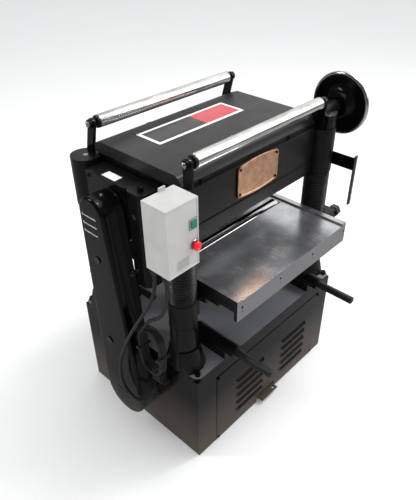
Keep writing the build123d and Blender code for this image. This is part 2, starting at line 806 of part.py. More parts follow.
# ---- head casting -----------------------------------------------------------------------------
def make_head_casting():
    head = Part()
    for sx in (-1, 1):
        head += block(sx * cheek_inner, sx * cheek_outer, head_front, head_rear, head_bottom, head_top)
    low = head_bottom + lower_rim
    head += block(-cheek_outer, cheek_outer, head_front, head_front + head_wall, low, head_top)
    head += block(-cheek_outer, cheek_outer, head_rear - head_wall, head_rear, low, head_top)
    # the frame lines and the stepped lower lip of the front face
    for z0, z1 in ((line_low, line_low + line_width), (head_top - line_top_width, head_top)):
        head += block(-line_half_length, line_half_length, head_front - frame_line, head_front, z0, z1)
    head += extrude(Plane.XZ.offset(-head_front) * badge_outline(), amount=frame_line)
    head += block(-lip_half_length, lip_half_length, head_front + lip_setback, head_front + head_wall,
                  head_bottom - lip_drop, low)
    for sx, sy in corners:
        head += rod_z(head_bottom, socket_top, sx * column_x, sy * column_y, socket_r)
    head += block(scale_pad_left, scale_pad_x, scale_pad_front, scale_pad_rear, scale_pad_bottom, scale_pad_top)
    # lugs that the top cover screws to, each on a foot that reaches back to the wall
    for (x, y, z), facing in cover_screws:
        inner = y - facing[1] * cover_sheet
        wall = head_front if facing[1] < 0 else head_rear
        deep = inner - facing[1] * lug_depth
        low = head_top - lug_foot
        head += block(x - lug_half_width, x + lug_half_width, inner, deep, low, z + screw_head_r)
        head += block(x - lug_half_width, x + lug_half_width, wall - facing[1] * 2, deep, low, head_top)
    # chip chute through the back wall
    chute = hood_half_width - chute_inset
    head -= block(-chute, chute, head_rear - head_wall - 1, head_rear + 1, chute_bottom, chute_top)
    for sx, sy in corners:
        x, y = sx * column_x, sy * column_y
        head -= rod_z(head_bottom - 1, column_top, x, y, column_r)
        head -= rod_z(column_top - 1, socket_top + 1, x, y, leadscrew_journal_r + running_fit)
    head -= rod_x(-cheek_outer - 1, cheek_outer + 1, cutter_y, cutter_z, cutter_bearing_r)
    for y in (infeed_y, outfeed_y):
        half_w, half_h = block_width / 2 + loose_fit, block_height / 2 + loose_fit
        head -= block(-cheek_outer - 1, cheek_outer + 1, y - half_w, y + half_w,
                      feed_roller_z - half_h, feed_roller_z + half_h)
    head -= rod_x(-cheek_outer - 1, cheek_outer + 1, finger_rod_y, finger_rod_z, finger_rod_r)
    head -= rod_x(-cheek_outer - 1, cheek_outer + 1, breaker_pivot_y, breaker_pivot_z, breaker_pivot_r + running_fit)
    # threaded holes for the badge, the covers and the hood
    head = drill(head, badge_screws)
    head = drill(head, cover_screws)
    return drill(head, [((x, head_rear, z), facing) for (x, y, z), facing in hood_screws])


def make_bearings():
    """Two cutterhead bearings, and the four sprung blocks that carry the feed rollers."""
    pieces = []
    for sx in (-1, 1):
        ring = rod_x(sx * cheek_inner, sx * cheek_outer, cutter_y, cutter_z, cutter_bearing_r)
        pieces.append(ring - rod_x(-400, 400, cutter_y, cutter_z, cutter_journal_r + running_fit))
        for y in (infeed_y, outfeed_y):
            half_w, half_h = block_width / 2, block_height / 2
            box = block(sx * cheek_inner, sx * cheek_outer, y - half_w, y + half_w,
                        feed_roller_z - half_h, feed_roller_z + half_h)
            pieces.append(box - rod_x(-400, 400, y, feed_roller_z, feed_journal_r + running_fit))
    return pieces


def knife_slot(angle, grown):
    """A straight knife along the cutterhead, standing out of its body at the given angle."""
    reach = cutter_r - knife_depth / 2
    box = Box(2 * cutter_half_length + 2 * grown, knife_thickness + 2 * grown, knife_depth + 2 * grown)
    return Pos(0, cutter_y, cutter_z) * Rot(angle, 0, 0) * Pos(0, 0, reach) * box


def make_cutterhead():
    n = cutter_half_length
    head = rod_x(-n, n, cutter_y, cutter_z, cutter_body_r)
    for i in range(knife_count):
        head -= knife_slot(360 / knife_count * i + 60, 0.1)
    head += rod_x(-cheek_outer - 4, cheek_outer + 4, cutter_y, cutter_z, cutter_journal_r)
    return head + rod_x(pulley_left - 4, 0, cutter_y, cutter_z, cutter_shaft_r)


def make_knives():
    return [knife_slot(360 / knife_count * i + 60, 0) for i in range(knife_count)]


def make_pulley(y, z, r, bore_r):
    wheel = rod_x(pulley_left, pulley_right, y, z, r)
    for x in belt_places():
        groove = rod_x(x - belt_width / 2 - loose_fit, x + belt_width / 2 + loose_fit, y, z, r + 1)
        groove -= rod_x(x - belt_width, x + belt_width, y, z, r - belt_thickness - 1 - loose_fit)
        wheel -= groove
    return wheel - rod_x(pulley_left - 1, pulley_right + 1, y, z, bore_r)


def belt_places():
    middle = (pulley_left + pulley_right) / 2
    return [middle + belt_pitch * (i - (belt_count - 1) / 2) for i in range(belt_count)]


def make_v_belts():
    belts = []
    run = [(guard_bottom_y, guard_bottom_z, motor_pulley_r - 1), (cutter_y, cutter_z, cutter_pulley_r - 1)]
    for x in belt_places():
        outer = hull_x(run, x - belt_width / 2, x + belt_width / 2)
        belts.append(outer - hull_x(grow(run, -belt_thickness), x - belt_width / 2, x + belt_width / 2))
    return belts


def make_feed_roller(y):
    roller = rod_x(-feed_roller_half_length, feed_roller_half_length, y, feed_roller_z, feed_roller_r)
    roller += rod_x(feed_chain_x - 8, cheek_outer + 4, y, feed_roller_z, feed_journal_r)
    x0, x1 = feed_chain_x - chain_width / 2, feed_chain_x + chain_width / 2
    return roller + rod_x(x0, x1, y, feed_roller_z, roller_sprocket_r - chain_thickness / 2 - face_gap)


def make_chip_breaker():
    y, z = breaker_pivot_y, breaker_pivot_z
    half = cutter_half_length + 1
    low = cut_level + over_cut
    plate = block(-half, half, y - breaker_thickness / 2, y + breaker_thickness / 2, low, z)
    plate += block(-half, half, y - breaker_foot / 2, y + breaker_foot / 2, low, low + breaker_foot_height)
    return plate + rod_x(-cheek_outer + 2, cheek_outer - 2, y, z, breaker_pivot_r)


def make_kickback_fingers():
    fingers = []
    for i in range(finger_count):
        x = finger_pitch * (i - (finger_count - 1) / 2)
        run = [(finger_rod_y + 3, finger_rod_z - finger_reach, finger_tip_r), (finger_rod_y, finger_rod_z, finger_eye_r)]
        finger = hull_x(run, x - finger_width / 2, x + finger_width / 2)
        fingers.append(finger - rod_x(-400, 400, finger_rod_y, finger_rod_z, finger_rod_r + running_fit))
    return fingers


def make_bars_and_axles():
    """The pressure bar, the kickback rod and the two fixed axles of the return rollers."""
    y = pressure_bar_y
    half = pressure_bar_thickness / 2
    bar = block(-cheek_inner, cheek_inner, y - half, y + half, head_bottom + lower_rim, pressure_bar_top)
    bar += block(-cutter_half_length - 1, cutter_half_length + 1, y - half, y + half,
                 cut_level + over_cut, pressure_bar_top)
    pieces = [bar, rod_x(-cheek_outer, cheek_outer, finger_rod_y, finger_rod_z, finger_rod_r)]
    reach = bracket_inner + bracket_thickness
    for y in (return_front_y, return_rear_y):
        axle = rod_x(-reach, reach, y, return_roller_z, return_axle_r)
        for side in (-1, 1):
            axle += rod_x(side * reach, side * (reach + axle_head), y, return_roller_z, axle_head_r)
        pieces.append(axle)
    return pieces


# ---- covers -----------------------------------------------------------------------------------
def cover_profile(inset):
    front, rear = cover_front + inset, head_rear - inset
    return [(front, head_top), (front, 972), (cover_front + 15 + inset, 990 - inset),
            (cover_front + 27 + inset, cover_top - inset), (150 - inset / 2, cover_top - inset),
            (rear, 985 - inset), (rear, head_top)]


def make_top_cover():
    outer = prism_x(cover_profile(0), -cover_half_width, cover_half_width)
    inner = prism_x(cover_profile(cover_sheet), -cover_half_width + cover_sheet, cover_half_width - cover_sheet)
    cover = outer - inner
    return drill(cover, cover_screws)


def make_dust_hood():
    t = cover_sheet
    profile = [(head_rear, hood_top_front), (hood_rear, hood_top_rear), (hood_rear, head_bottom), (head_rear, head_bottom)]
    inner = [(head_rear - 1, hood_top_front - t), (hood_rear - t, hood_top_rear - t),
             (hood_rear - t, head_bottom + t), (head_rear - 1, head_bottom + t)]
    hood = prism_x(profile, -hood_half_width, hood_half_width)
    hood -= prism_x(inner, -hood_half_width + t, hood_half_width - t)
    hood += rod_y(hood_rear - t, hood_rear + port_length, 0, port_z, port_r)
    hood -= rod_y(hood_rear - 5, hood_rear + port_length + 1, 0, port_z, port_r - port_wall)
    for (x, y, z), facing in hood_screws:
        hood += rod_y(head_rear, hood_rear, x, z, hood_pillar_r)
        hood -= rod_y(head_rear - 1, hood_rear + 1, x, z, screw_r + loose_fit)
    return hood


def make_name_plate():
    return block(plate_left, plate_right, plate_front, plate_rear, cover_top, cover_top + name_plate_thickness)


def badge_outline():
    """A plate with straight ends and a bowed top and bottom, as (x, z)."""
    middle = (badge_left + badge_right) / 2
    top = ThreePointArc((badge_right, badge_top), (middle, badge_top + badge_bow), (badge_left, badge_top))
    low = ThreePointArc((badge_left, badge_bottom), (middle, badge_bottom - badge_bow), (badge_right, badge_bottom))
    ends = Line(top @ 1, low @ 0) + Line(low @ 1, top @ 0)
    return make_face(top + low + ends)


def make_badge():
    face = Plane.XZ.offset(-head_front + frame_line) * badge_outline()
    return drill(extrude(face, amount=badge_thickness), badge_screws)


def make_roller_brackets():
    brackets = []
    half = bracket_width / 2
    for sx in (-1, 1):
        for y, foot_y in ((return_front_y, return_front_y), (return_rear_y, bracket_rear_foot_y)):
            x0, x1 = sorted((sx * bracket_inner, sx * (bracket_inner + bracket_thickness)))
            outline = [(foot_y - half, socket_top), (foot_y + half, socket_top),
                       (y + half, return_roller_z), (y - half, return_roller_z)]
            bar = prism_x(outline, x0, x1) + rod_x(x0, x1, y, return_roller_z, half)
            brackets.append(bar - rod_x(-400, 400, y, return_roller_z, return_axle_r))
    return brackets


def make_return_roller(y):
    n = return_roller_half_length
    return rod_x(-n, n, y, return_roller_z, return_roller_r) - rod_x(-n - 1, n + 1, y, return_roller_z,
                                                                    return_axle_r + running_fit)


# ---- feed drive covers ------------------------------------------------------------------------
def make_side_cover():
    t = cover_sheet
    cover = block(side_cover_left, side_cover_right, side_cover_front, side_cover_rear, side_cover_bottom, side_cover_top)
    cover -= block(side_cover_left + t, side_cover_right + 1, side_cover_front + t, side_cover_rear - t,
                   side_cover_bottom + t, side_cover_top - t)
    cover -= rod_x(side_cover_left - 1, side_cover_left + t + 1, cutter_y, cutter_z, cutter_shaft_r + shaft_hole_margin)
    # the mouth through which the feed chain enters from the gearbox
    cover -= block(feed_chain_x - chain_mouth / 2, side_cover_right + 1, side_cover_front - 1, side_cover_front + t + 1,
                   chain_case_bottom, chain_case_top)
    # two blocks inside it stand on the head's cheek and take its screws
    for at, facing in side_screws:
        half = screw_block / 2
        cover += block(side_cover_left + t, -cheek_outer, at[1] - half, at[1] + half, at[2] - half, at[2] + half)
    return drill(cover, side_screws)


def make_gearbox_housing():
    w = gearbox_wall
    chamfer = gearbox_chamfer
    outline = [(gearbox_left, gearbox_front + chamfer), (gearbox_left, gearbox_rear - chamfer),
               (gearbox_left + chamfer, gearbox_rear), (gearbox_right, gearbox_rear),
               (gearbox_right, gearbox_front), (gearbox_left + chamfer, gearbox_front)]
    face = make_face(Polyline(*outline, close=True))
    housing = Pos(0, 0, gearbox_bottom) * extrude(face, amount=gearbox_top - gearbox_bottom)
    housing -= block(gearbox_left + w, gearbox_right + 1, gearbox_front + chamfer, gearbox_rear - chamfer,
                     chain_case_bottom, gearbox_top - w)
    housing -= block(gearbox_left + chamfer, gearbox_right + 1, gearbox_front + w, gearbox_rear - w,
                     chain_case_bottom, gearbox_top - w)
    housing -= block(feed_chain_x - chain_mouth / 2, gearbox_right + 1, gearbox_rear - w - 1, gearbox_rear + 1,
                     chain_case_bottom, chain_case_top)
    housing += block(gearbox_right, -cheek_outer, gearbox_front, gearbox_front + gearbox_flange,
                     head_bottom + 2, gearbox_flange_top)
    housing -= rod_x(gearbox_left - 1, gearbox_left + w + 1, infeed_y, feed_shaft_z, feed_shaft_r + running_fit)
    plug_inset_x, plug_inset_y = filler_plug_inset
    housing += rod_z(gearbox_top, gearbox_top + filler_plug_height, gearbox_left + plug_inset_x,
                     gearbox_front + plug_inset_y, filler_plug_r)
    housing -= rod_x(gearbox_left - 1, gearbox_left + speed_rod_inside + w, speed_knob_y, speed_knob_z, speed_rod_r + running_fit)
    return housing


def make_gearbox_gears():
    """The gearbox's last shaft, with its gear and the sprocket that drives the feed chain."""
    y, z = infeed_y, feed_shaft_z
    shaft = rod_x(gearbox_left + 0.5, feed_chain_x + 8, y, z, feed_shaft_r)
    shaft += rod_x(feed_gear_left, feed_gear_right, y, z, feed_gear_r)
    x0, x1 = feed_chain_x - chain_width / 2, feed_chain_x + chain_width / 2
    return shaft + rod_x(x0, x1, y, z, feed_sprocket_r - chain_thickness / 2 - face_gap)


def make_speed_knob():
    """The push-pull knob that picks one of two feed speeds; pushed in at rest."""
    rod = rod_x(gearbox_left - speed_rod_outside, gearbox_left + speed_rod_inside, speed_knob_y, speed_knob_z,
                speed_rod_r)
    middle = gearbox_left - speed_knob_offset
    arc = ThreePointArc((middle - speed_knob_r, 0), (middle, speed_knob_r), (middle + speed_knob_r, 0))
    ball = revolve(make_face(arc + Line(arc @ 1, arc @ 0)), Axis.X, 360)
    return rod + Pos(0, speed_knob_y, speed_knob_z) * ball


# ---- belt drive -------------------------------------------------------------------------------
guard_outline = [(guard_bottom_y, guard_bottom_z, guard_bottom_r), (guard_top_y, guard_top_z, guard_top_r)]


def make_belt_guard():
    """The belt cover, the plate that it screws to, and the plate's stand-off posts."""
    t = guard_sheet
    cover = hull_x(guard_outline, guard_left, guard_right - t)
    cover -= hull_x(grow(guard_outline, -t), guard_left + t, guard_right)
    for (y0, y1), levels in guard_slots:
        for z in levels:
            cover -= block(guard_left - 1, guard_left + t + 1, y0, y1, z - guard_slot_half, z + guard_slot_half)
    plate = hull_x(guard_outline, guard_right - t, guard_right)
    plate -= rod_x(guard_right - t - 1, guard_right + 1, cutter_y, cutter_z, cutter_shaft_r + shaft_hole_margin)
    plate -= rod_x(guard_right - t - 1, guard_right + 1, guard_bottom_y, guard_bottom_z, guard_motor_hole_r)
    for y, z in guard_posts:
        plate += rod_x(guard_right, -half_x, y, z, guard_post_r)
    plate += rod_x(guard_right, side_cover_left, *guard_stay, guard_stay_r)
    for (x, y, z), facing in guard_screws:
        plate += rod_x(guard_left + t, guard_right, y, z, guard_screw_post_r)
    return [drill(cover, guard_screws), drill(plate, guard_screws)]


def make_motor():
    y, z = guard_bottom_y, guard_bottom_z
    motor = rod_x(motor_left, motor_right, y, z, motor_r)
    for x0, x1 in motor_feet:
        motor += block(x0, x1, y - motor_foot_half, y + motor_foot_half, z, cabinet_height)
    return motor - rod_x(motor_left - 1, motor_left + motor_shaft_depth + 5, y, z, motor_shaft_r + running_fit)


def make_motor_rotor():
    y, z = guard_bottom_y, guard_bottom_z
    shaft = rod_x(pulley_left - 4, motor_left + motor_shaft_depth, y, z, motor_shaft_r)
    return shaft + make_pulley(y, z, motor_pulley_r, motor_shaft_r)


# ---- switch box -------------------------------------------------------------------------------
def make_switch_box():
    t = box_wall
    box = block(box_left, box_right, box_front, box_rear, box_bottom, box_top)
    box -= block(box_left + t, box_right - t, box_front + t, box_rear - t, box_bottom + t, box_top - t)
    half_w, half_h = start_width / 2 + loose_fit, start_height / 2 + loose_fit
    box -= block(start_x - half_w, start_x + half_w, box_front - 1, box_front + t + 1, start_z - half_h, start_z + half_h)
    box -= rod_y(box_front - 1, box_front + t + 1, stop_x, stop_z, button_stem_r + slide_fit)
    for x, y in box_glands:
        box -= rod_z(box_bottom - 1, box_bottom + t + 1, x, y, gland_thread_r + loose_fit)
    box += block(latch_left, latch_right, box_rear - latch_depth, box_rear, box_top, box_top + latch_height)
    # the bracket that holds the box on the front left column socket
    arm = block(box_left + arm_inset, arm_right, box_rear, box_rear + arm_sheet, arm_bottom, arm_top)
    arm += block(arm_right - arm_block, arm_right, box_rear, arm_rear, arm_bottom, arm_top)
    arm -= rod_z(arm_bottom - 1, arm_top + 1, -column_x, -column_y, socket_r + 0.01)
    return [box, arm]


def make_start_button():
    y = box_front
    button = block(start_x - start_width / 2, start_x + start_width / 2, y - start_proud, y + start_depth,
                   start_z - start_height / 2, start_z + start_height / 2)
    inner = y + box_wall + face_gap
    return button + block(start_x - start_width / 2 - button_flange, start_x + start_width / 2 + button_flange,
                          inner, inner + button_flange, start_z - start_height / 2 - button_flange,
                          start_z + start_height / 2 + button_flange)


def make_stop_button():
    y = box_front
    inner = y + box_wall + face_gap
    back = y - stop_proud + stop_cap
    button = rod_y(y - stop_proud, back, stop_x, stop_z, stop_r)
    button += rod_y(back, inner + button_flange, stop_x, stop_z, button_stem_r)
    return button + rod_y(inner, inner + button_flange, stop_x, stop_z, button_stem_r + button_flange)


# ---- elevation drive --------------------------------------------------------------------------
def make_elevation_housing():
    x, y = column_x, -column_y
    housing = rod_z(socket_top, housing_top, x, y, housing_r) + rod_x(barrel_left, barrel_right, y, wheel_z, barrel_r)
    # its inner side is flat, beside the roller bracket and the top cover
    flat = bracket_inner + bracket_thickness + face_gap
    housing -= block(flat - 50, flat, y - 50, y + 50, socket_top - 1, wheel_z + barrel_r + 1)
    floor = socket_top + housing_floor
    housing -= rod_z(floor, housing_top - housing_lid, x, y, crown_r + housing_gear_gap)
    housing -= rod_z(socket_top - 1, floor + 1, x, y, leadscrew_journal_r + running_fit)
    cap = barrel_right - barrel_cap
    housing -= rod_x(x - 6, cap + 1, y, wheel_z, bevel_large_r + housing_gear_gap)
    return housing - rod_x(cap, barrel_right + 1, y, wheel_z, wheel_shaft_r + running_fit)


def make_handwheel():
    """The wheel, its shaft with the small bevel gear, and the fixed pin of the crank handle."""
    rim = wheel_rim_x
    profile = [(rim - 20, 0), (rim - 20, 34), (rim - 8, 36), (rim + 2, 60), (rim - 4, 84), (rim - 8, wheel_r - 2),
               (rim, wheel_r + 3), (rim + 10, wheel_r), (rim + 10, wheel_r - 8), (rim + 6, 84), (rim + 10, 60),
               (rim, 38), (rim + 10, 22), (rim + 10, 0)]
    wheel = spin_x(profile, -column_y, wheel_z)
    wheel += rod_x(barrel_right + face_gap, rim - 18, -column_y, wheel_z, wheel_boss_r)
    gear_end = column_x + crown_r
    wheel += rod_x(gear_end, barrel_right + 2, -column_y, wheel_z, wheel_shaft_r)
    wheel += spin_x([(gear_end - bevel_length, 0), (gear_end - bevel_length, bevel_small_r),
                     (gear_end, bevel_large_r), (gear_end, 0)], -column_y, wheel_z)
    y, z = -column_y + crank_offset, wheel_z - crank_offset
    end = rim + crank_boss + 2 * face_gap + crank_grip_length
    wheel += rod_x(rim, end + crank_cap, y, z, crank_pin_r)
    wheel += rod_x(rim, rim + crank_boss, y, z, crank_boss_r)
    return wheel + rod_x(end, end + crank_cap, y, z, crank_cap_r)


def make_crank_handle():
    y, z = -column_y + crank_offset, wheel_z - crank_offset
    start = wheel_rim_x + crank_boss + face_gap
    end = start + crank_grip_length
    grip = spin_x([(start, 0), (start, crank_grip_r - 4), (start + 20, crank_grip_r), (end - 10, crank_grip_r),
                   (end, crank_grip_r - 5), (end, 0)], y, z)
    return grip - rod_x(start - 1, end + 1, y, z, crank_pin_r + running_fit)


def make_depth_scale():
    plate = block(scale_pad_x, scale_pad_x + scale_sheet, scale_front, scale_pad_rear, scale_pad_bottom, scale_pad_top)
    return plate + block(scale_pad_x - scale_strip_left, scale_pad_x + scale_strip_right,
                         scale_front - 2, scale_front - 2 + scale_sheet, scale_bottom, scale_top)


# ---- lift bars and pedal ----------------------------------------------------------------------
def make_lift_bar(sx, sy):
    """Front bars are pulled out at rest and rear bars are pushed in."""
    outer = lift_bar_tip if sy < 0 else lift_bar_tip - lift_bar_stroke
    return rod_y(sy * (outer - lift_bar_length), sy * outer, sx * lift_bar_x, lift_bar_z, lift_bar_r)


def make_foot_pedal():
    x0, x1, z = pedal_left, pedal_right, pedal_level
    top, half = z + pedal_plate, pedal_arm / 2
    plate = block(x0, x1, pedal_front, pedal_rear, z, top)
    for y in pedal_tread_ys:
        plate += block(x0 + pedal_arm, x1 - pedal_arm, y - 1, y + 1, top, top + pedal_tread)
    plate -= rod_z(z - 1, top + 3, x1 - pedal_hole_inset, pedal_hole_y, pedal_hole_r)
    for x in (x0 + pedal_arm_inset, x1 - pedal_arm_inset):
        plate += block(x - half, x + half, pedal_rear, pedal_pivot_y + 8, z, pedal_pivot_z + 8)
    inner = pedal_arm_inset - half
    plate += rod_x(x0 + inner, x1 - inner, caster_y, caster_r + caster_lift, caster_axle_r)
    return plate + rod_x(x0 - pedal_shaft_reach, x1 + pedal_shaft_reach, pedal_pivot_y, pedal_pivot_z, pedal_shaft_r)


def make_caster_wheel():
    middle = (pedal_left + pedal_right) / 2
    z = caster_r + caster_lift
    wheel = rod_x(middle - caster_width / 2, middle + caster_width / 2, caster_y, z, caster_r)
    return wheel - rod_x(middle - caster_width, middle + caster_width, caster_y, z, caster_axle_r + running_fit)


# ---- cables -----------------------------------------------------------------------------------
def hexagon_gland(at, out):
    """A cable gland: its thread goes into the wall at the point at, and out is the way the cable leaves."""
    body = extrude(RegularPolygon(gland_r + 1, 6), amount=gland_nut)
    body += Pos(0, 0, gland_nut + gland_dome / 2) * Cone(gland_r, cable_r + 2, gland_dome)
    body += Pos(0, 0, -gland_thread / 2) * Cylinder(gland_thread_r, gland_thread)
    return Plane(at, z_dir=out) * body


def make_cord_glands():
    glands = [hexagon_gland((x, y, box_bottom), (0, 0, -1)) for x, y in box_glands]
    return glands + [hexagon_gland((-half_x, lead_gland_y, lead_gland_z), (-1, 0, 0))]


def cable_tube(points):
    """A round cable along straight runs joined by the largest arcs that the runs allow."""
    radii = []
    for a, b, c in zip(points, points[1:], points[2:]):
        before, after = Vector(*b) - Vector(*a), Vector(*c) - Vector(*b)
        turn = radians(before.get_angle(after))
        radii.append(0.45 * min(before.length, after.length) / tan(turn / 2))
    path = FilletPolyline(*points, radius=radii)
    print("cable radii", [round(r) for r in radii], "length", round(path.length))
    tube = sweep(Plane(path @ 0, z_dir=path % 0) * Circle(cable_r), path=path)
    print("volume over section times length", round(tube.volume / (3.14159265 * cable_r ** 2 * path.length), 4))
    return tube


def make_supply_coil():
    """The outer shape of the hanging hank: an upright loop, open in the middle."""
    x0, x1 = hank_x - hank_depth / 2, hank_x + hank_depth / 2
    low, high = hank_top - hank_height + hank_width / 2, hank_top - hank_width / 2
    ends = [(hank_y, low, hank_width / 2), (hank_y, high, hank_width / 2)]
    return hull_x(ends, x0, x1) - hull_x(grow(ends, -hank_band), x0, x1)


def make_supply_plug():
    """A moulded plug that hangs below the hank, with its pins down."""
    top = hank_top - hank_height
    neck = top - plug_strain_relief
    face = neck - plug_body
    plug = cone_z(neck, top, plug_x, hank_y, 10, cable_r + 1)
    plug += block(plug_x - plug_half_width, plug_x + plug_half_width, hank_y - plug_half_length,
                  hank_y + plug_half_length, face, neck)
    for side in (-plug_pin_spread, plug_pin_spread):
        plug += block(plug_x - 1, plug_x + 1, hank_y + side - 3.5, hank_y + side + 3.5, face - plug_pin, face)
    return plug + rod_z(face - plug_pin - 2, face, plug_x + 8, hank_y, plug_earth_r)


# ---- fasteners --------------------------------------------------------------------------------
def make_fasteners():
    pieces = [screw(at, facing) for at, facing in panel_screws + cover_screws + guard_screws + side_screws]
    pieces += [screw(at, facing, head_r=badge_screw_head_r, head=badge_screw_head) for at, facing in badge_screws]
    pieces += [screw(at, facing, shank=hood_rear - head_rear + 7) for at, facing in hood_screws]
    for sx, sy in corners:
        at = (sx * (half_x - base_bolt_inset_x), sy * (half_y - base_bolt_inset_y), base_top)
        pieces.append(screw(at, (0, 0, 1), base_bolt_r, base_bolt_length, base_bolt_head_r, base_bolt_head_height))
    return pieces


def make_all():
    nodes = {
        "cabinet": make_cabinet(), "front_panel": make_front_panel(), "base_casting": make_base_casting(),
        "columns": make_columns(), "chains": make_chains(), "table": make_table(), "lift_nuts": make_lift_nuts(),
        "bellows": make_bellows(), "head_casting": make_head_casting(), "bearings": make_bearings(),
        "cutterhead": make_cutterhead(), "knives": make_knives(),
        "cutterhead_pulley": make_pulley(cutter_y, cutter_z, cutter_pulley_r, cutter_shaft_r),
        "v_belts": make_v_belts(), "infeed_roller": make_feed_roller(infeed_y),
        "outfeed_roller": make_feed_roller(outfeed_y), "chip_breaker": make_chip_breaker(),
        "kickback_fingers": make_kickback_fingers(), "bars_and_axles": make_bars_and_axles(),
        "top_cover": make_top_cover(), "dust_hood": make_dust_hood(), "name_plate": make_name_plate(),
        "badge": make_badge(), "roller_brackets": make_roller_brackets(),
        "return_roller_front": make_return_roller(return_front_y),
        "return_roller_rear": make_return_roller(return_rear_y), "side_cover": make_side_cover(),
        "gearbox_housing": make_gearbox_housing(), "gearbox_gears": make_gearbox_gears(),
        "speed_knob": make_speed_knob(), "belt_guard": make_belt_guard(), "motor": make_motor(),
        "motor_rotor": make_motor_rotor(), "switch_box": make_switch_box(), "start_button": make_start_button(),
        "stop_button": make_stop_button(), "elevation_housing": make_elevation_housing(),
        "handwheel": make_handwheel(), "crank_handle": make_crank_handle(), "depth_scale": make_depth_scale(),
        "foot_pedal": make_foot_pedal(), "caster_wheel": make_caster_wheel(), "fasteners": make_fasteners(),
        "cord_glands": make_cord_glands(), "motor_lead": cable_tube(motor_lead_route),
        "supply_cord": cable_tube(supply_cord_route), "supply_coil": make_supply_coil(),
        "supply_plug": make_supply_plug(),
    }
    for sy, end in ((-1, "front"), (1, "rear")):
        nodes["table_roller_" + end] = make_table_roller(sy)
        nodes["lock_knob_" + end] = make_lock_knob(sy)
    for corner, name in corner_names.items():
        nodes["leadscrew_" + name] = make_leadscrew(*corner)
        nodes["lift_bar_" + name] = make_lift_bar(*corner)
    return nodes


os.makedirs("parts", exist_ok=True)
for node, made in make_all().items():
    solids = made if isinstance(made, list) else [made]
    shape = Compound(children=solids) if len(solids) > 1 else solids[0]
    export_step(shape, f"parts/{node}.step")
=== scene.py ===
"""The finish of a four-column thickness planer: castings, sheet covers, rollers, bellows and cables."""

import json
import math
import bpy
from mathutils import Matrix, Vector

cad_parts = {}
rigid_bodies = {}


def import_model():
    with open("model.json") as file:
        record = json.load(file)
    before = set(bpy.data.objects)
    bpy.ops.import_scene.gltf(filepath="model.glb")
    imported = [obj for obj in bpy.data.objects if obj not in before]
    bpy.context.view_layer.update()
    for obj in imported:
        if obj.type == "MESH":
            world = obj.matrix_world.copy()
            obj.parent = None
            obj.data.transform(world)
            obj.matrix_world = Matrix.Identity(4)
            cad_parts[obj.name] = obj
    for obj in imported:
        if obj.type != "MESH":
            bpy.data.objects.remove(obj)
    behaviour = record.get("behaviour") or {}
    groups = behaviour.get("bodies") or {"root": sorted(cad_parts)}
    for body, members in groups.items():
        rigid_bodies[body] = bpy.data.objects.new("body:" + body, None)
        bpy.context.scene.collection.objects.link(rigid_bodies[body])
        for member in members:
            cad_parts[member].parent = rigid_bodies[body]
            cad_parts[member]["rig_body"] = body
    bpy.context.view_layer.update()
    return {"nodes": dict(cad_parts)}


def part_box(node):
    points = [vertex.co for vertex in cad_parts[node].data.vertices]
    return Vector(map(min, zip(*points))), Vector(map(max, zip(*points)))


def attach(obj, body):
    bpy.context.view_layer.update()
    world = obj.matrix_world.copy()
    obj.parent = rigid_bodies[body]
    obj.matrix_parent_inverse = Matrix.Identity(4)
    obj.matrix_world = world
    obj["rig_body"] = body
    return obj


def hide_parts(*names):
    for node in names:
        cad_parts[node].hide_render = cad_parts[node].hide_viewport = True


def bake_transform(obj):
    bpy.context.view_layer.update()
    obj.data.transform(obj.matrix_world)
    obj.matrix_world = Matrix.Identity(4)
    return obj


bl_info = {
    "name": "Thickness Planer",
    "version": (1, 0, 0),
    "blender": (4, 5, 0),
    "location": "View3D > Sidebar > Planer",
    "description": "Adds the finished pieces of a four-column thickness planer round its CAD frame",
    "category": "Add Mesh",
}

import bmesh
import bpy
from bpy.props import FloatProperty, FloatVectorProperty, IntProperty, PointerProperty
from mathutils import Matrix, Vector

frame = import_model()

MERGE = 1e-5              # vertices of a CAD piece closer than this are one
FULL_TURN = 2 * math.pi
CORNERS = ("front_left", "front_right", "rear_left", "rear_right")
BASE_PLATE = 0.012        # thickness of the base casting's plate
LID_HEIGHT = 1.000        # of the elevation housing's lid, over the floor
BOX_DEPTH = 0.081         # of the switch box, from its front to its back
GUARD_SCREWS = ((0.020, 0.415), (0.018, 0.728))   # places of the guard's screws, as y and z
JOURNAL = 0.020           # radius of the cutterhead's journals
CRANK_BOSS = 0.0133       # from the plane of the handwheel's rim to the crank handle
AXLE_NUT = 0.0045         # thickness of the nuts on the return rollers' axles
SKIN = 0.0003             # how far a small piece stands clear of the one that it meets
# outlines of a rivet's head and of a nut's dome, as height and radius
DOME = ((0.0, 0.0026), (0.0006, 0.0025), (0.0011, 0.0018), (0.0014, 0.0))
DOME_NUT = ((0.0, 0.0072), (0.0015, 0.0067), (0.0028, 0.0045), (0.0034, 0.0))


# ---- colours and materials ---------------------------------------------------------------------
def linear(code):
    """A colour written as sRGB hex, as linear red, green, blue and alpha."""
    channels = [int(code[i:i + 2], 16) / 255 for i in (1, 3, 5)]
    return tuple(c / 12.92 if c <= 0.04045 else ((c + 0.055) / 1.055) ** 2.4 for c in channels) + (1.0,)


def scaled(colour, factor, lift=0.0):
    """A linear colour made lighter or darker by a factor, and lifted a little."""
    return tuple(min(1, c * factor + lift) for c in colour[:3]) + (1.0,)


def add(tree, kind, inputs=(), **settings):
    """Adds a node to a tree, with its settings, and its inputs set to values or linked to sockets."""
    node = tree.nodes.new(kind)
    for name, value in settings.items():
        setattr(node, name, value)
    for key, value in dict(inputs).items():
        if isinstance(value, bpy.types.NodeSocket):
            tree.links.new(value, node.inputs[key])
        else:
            node.inputs[key].default_value = value
    return node


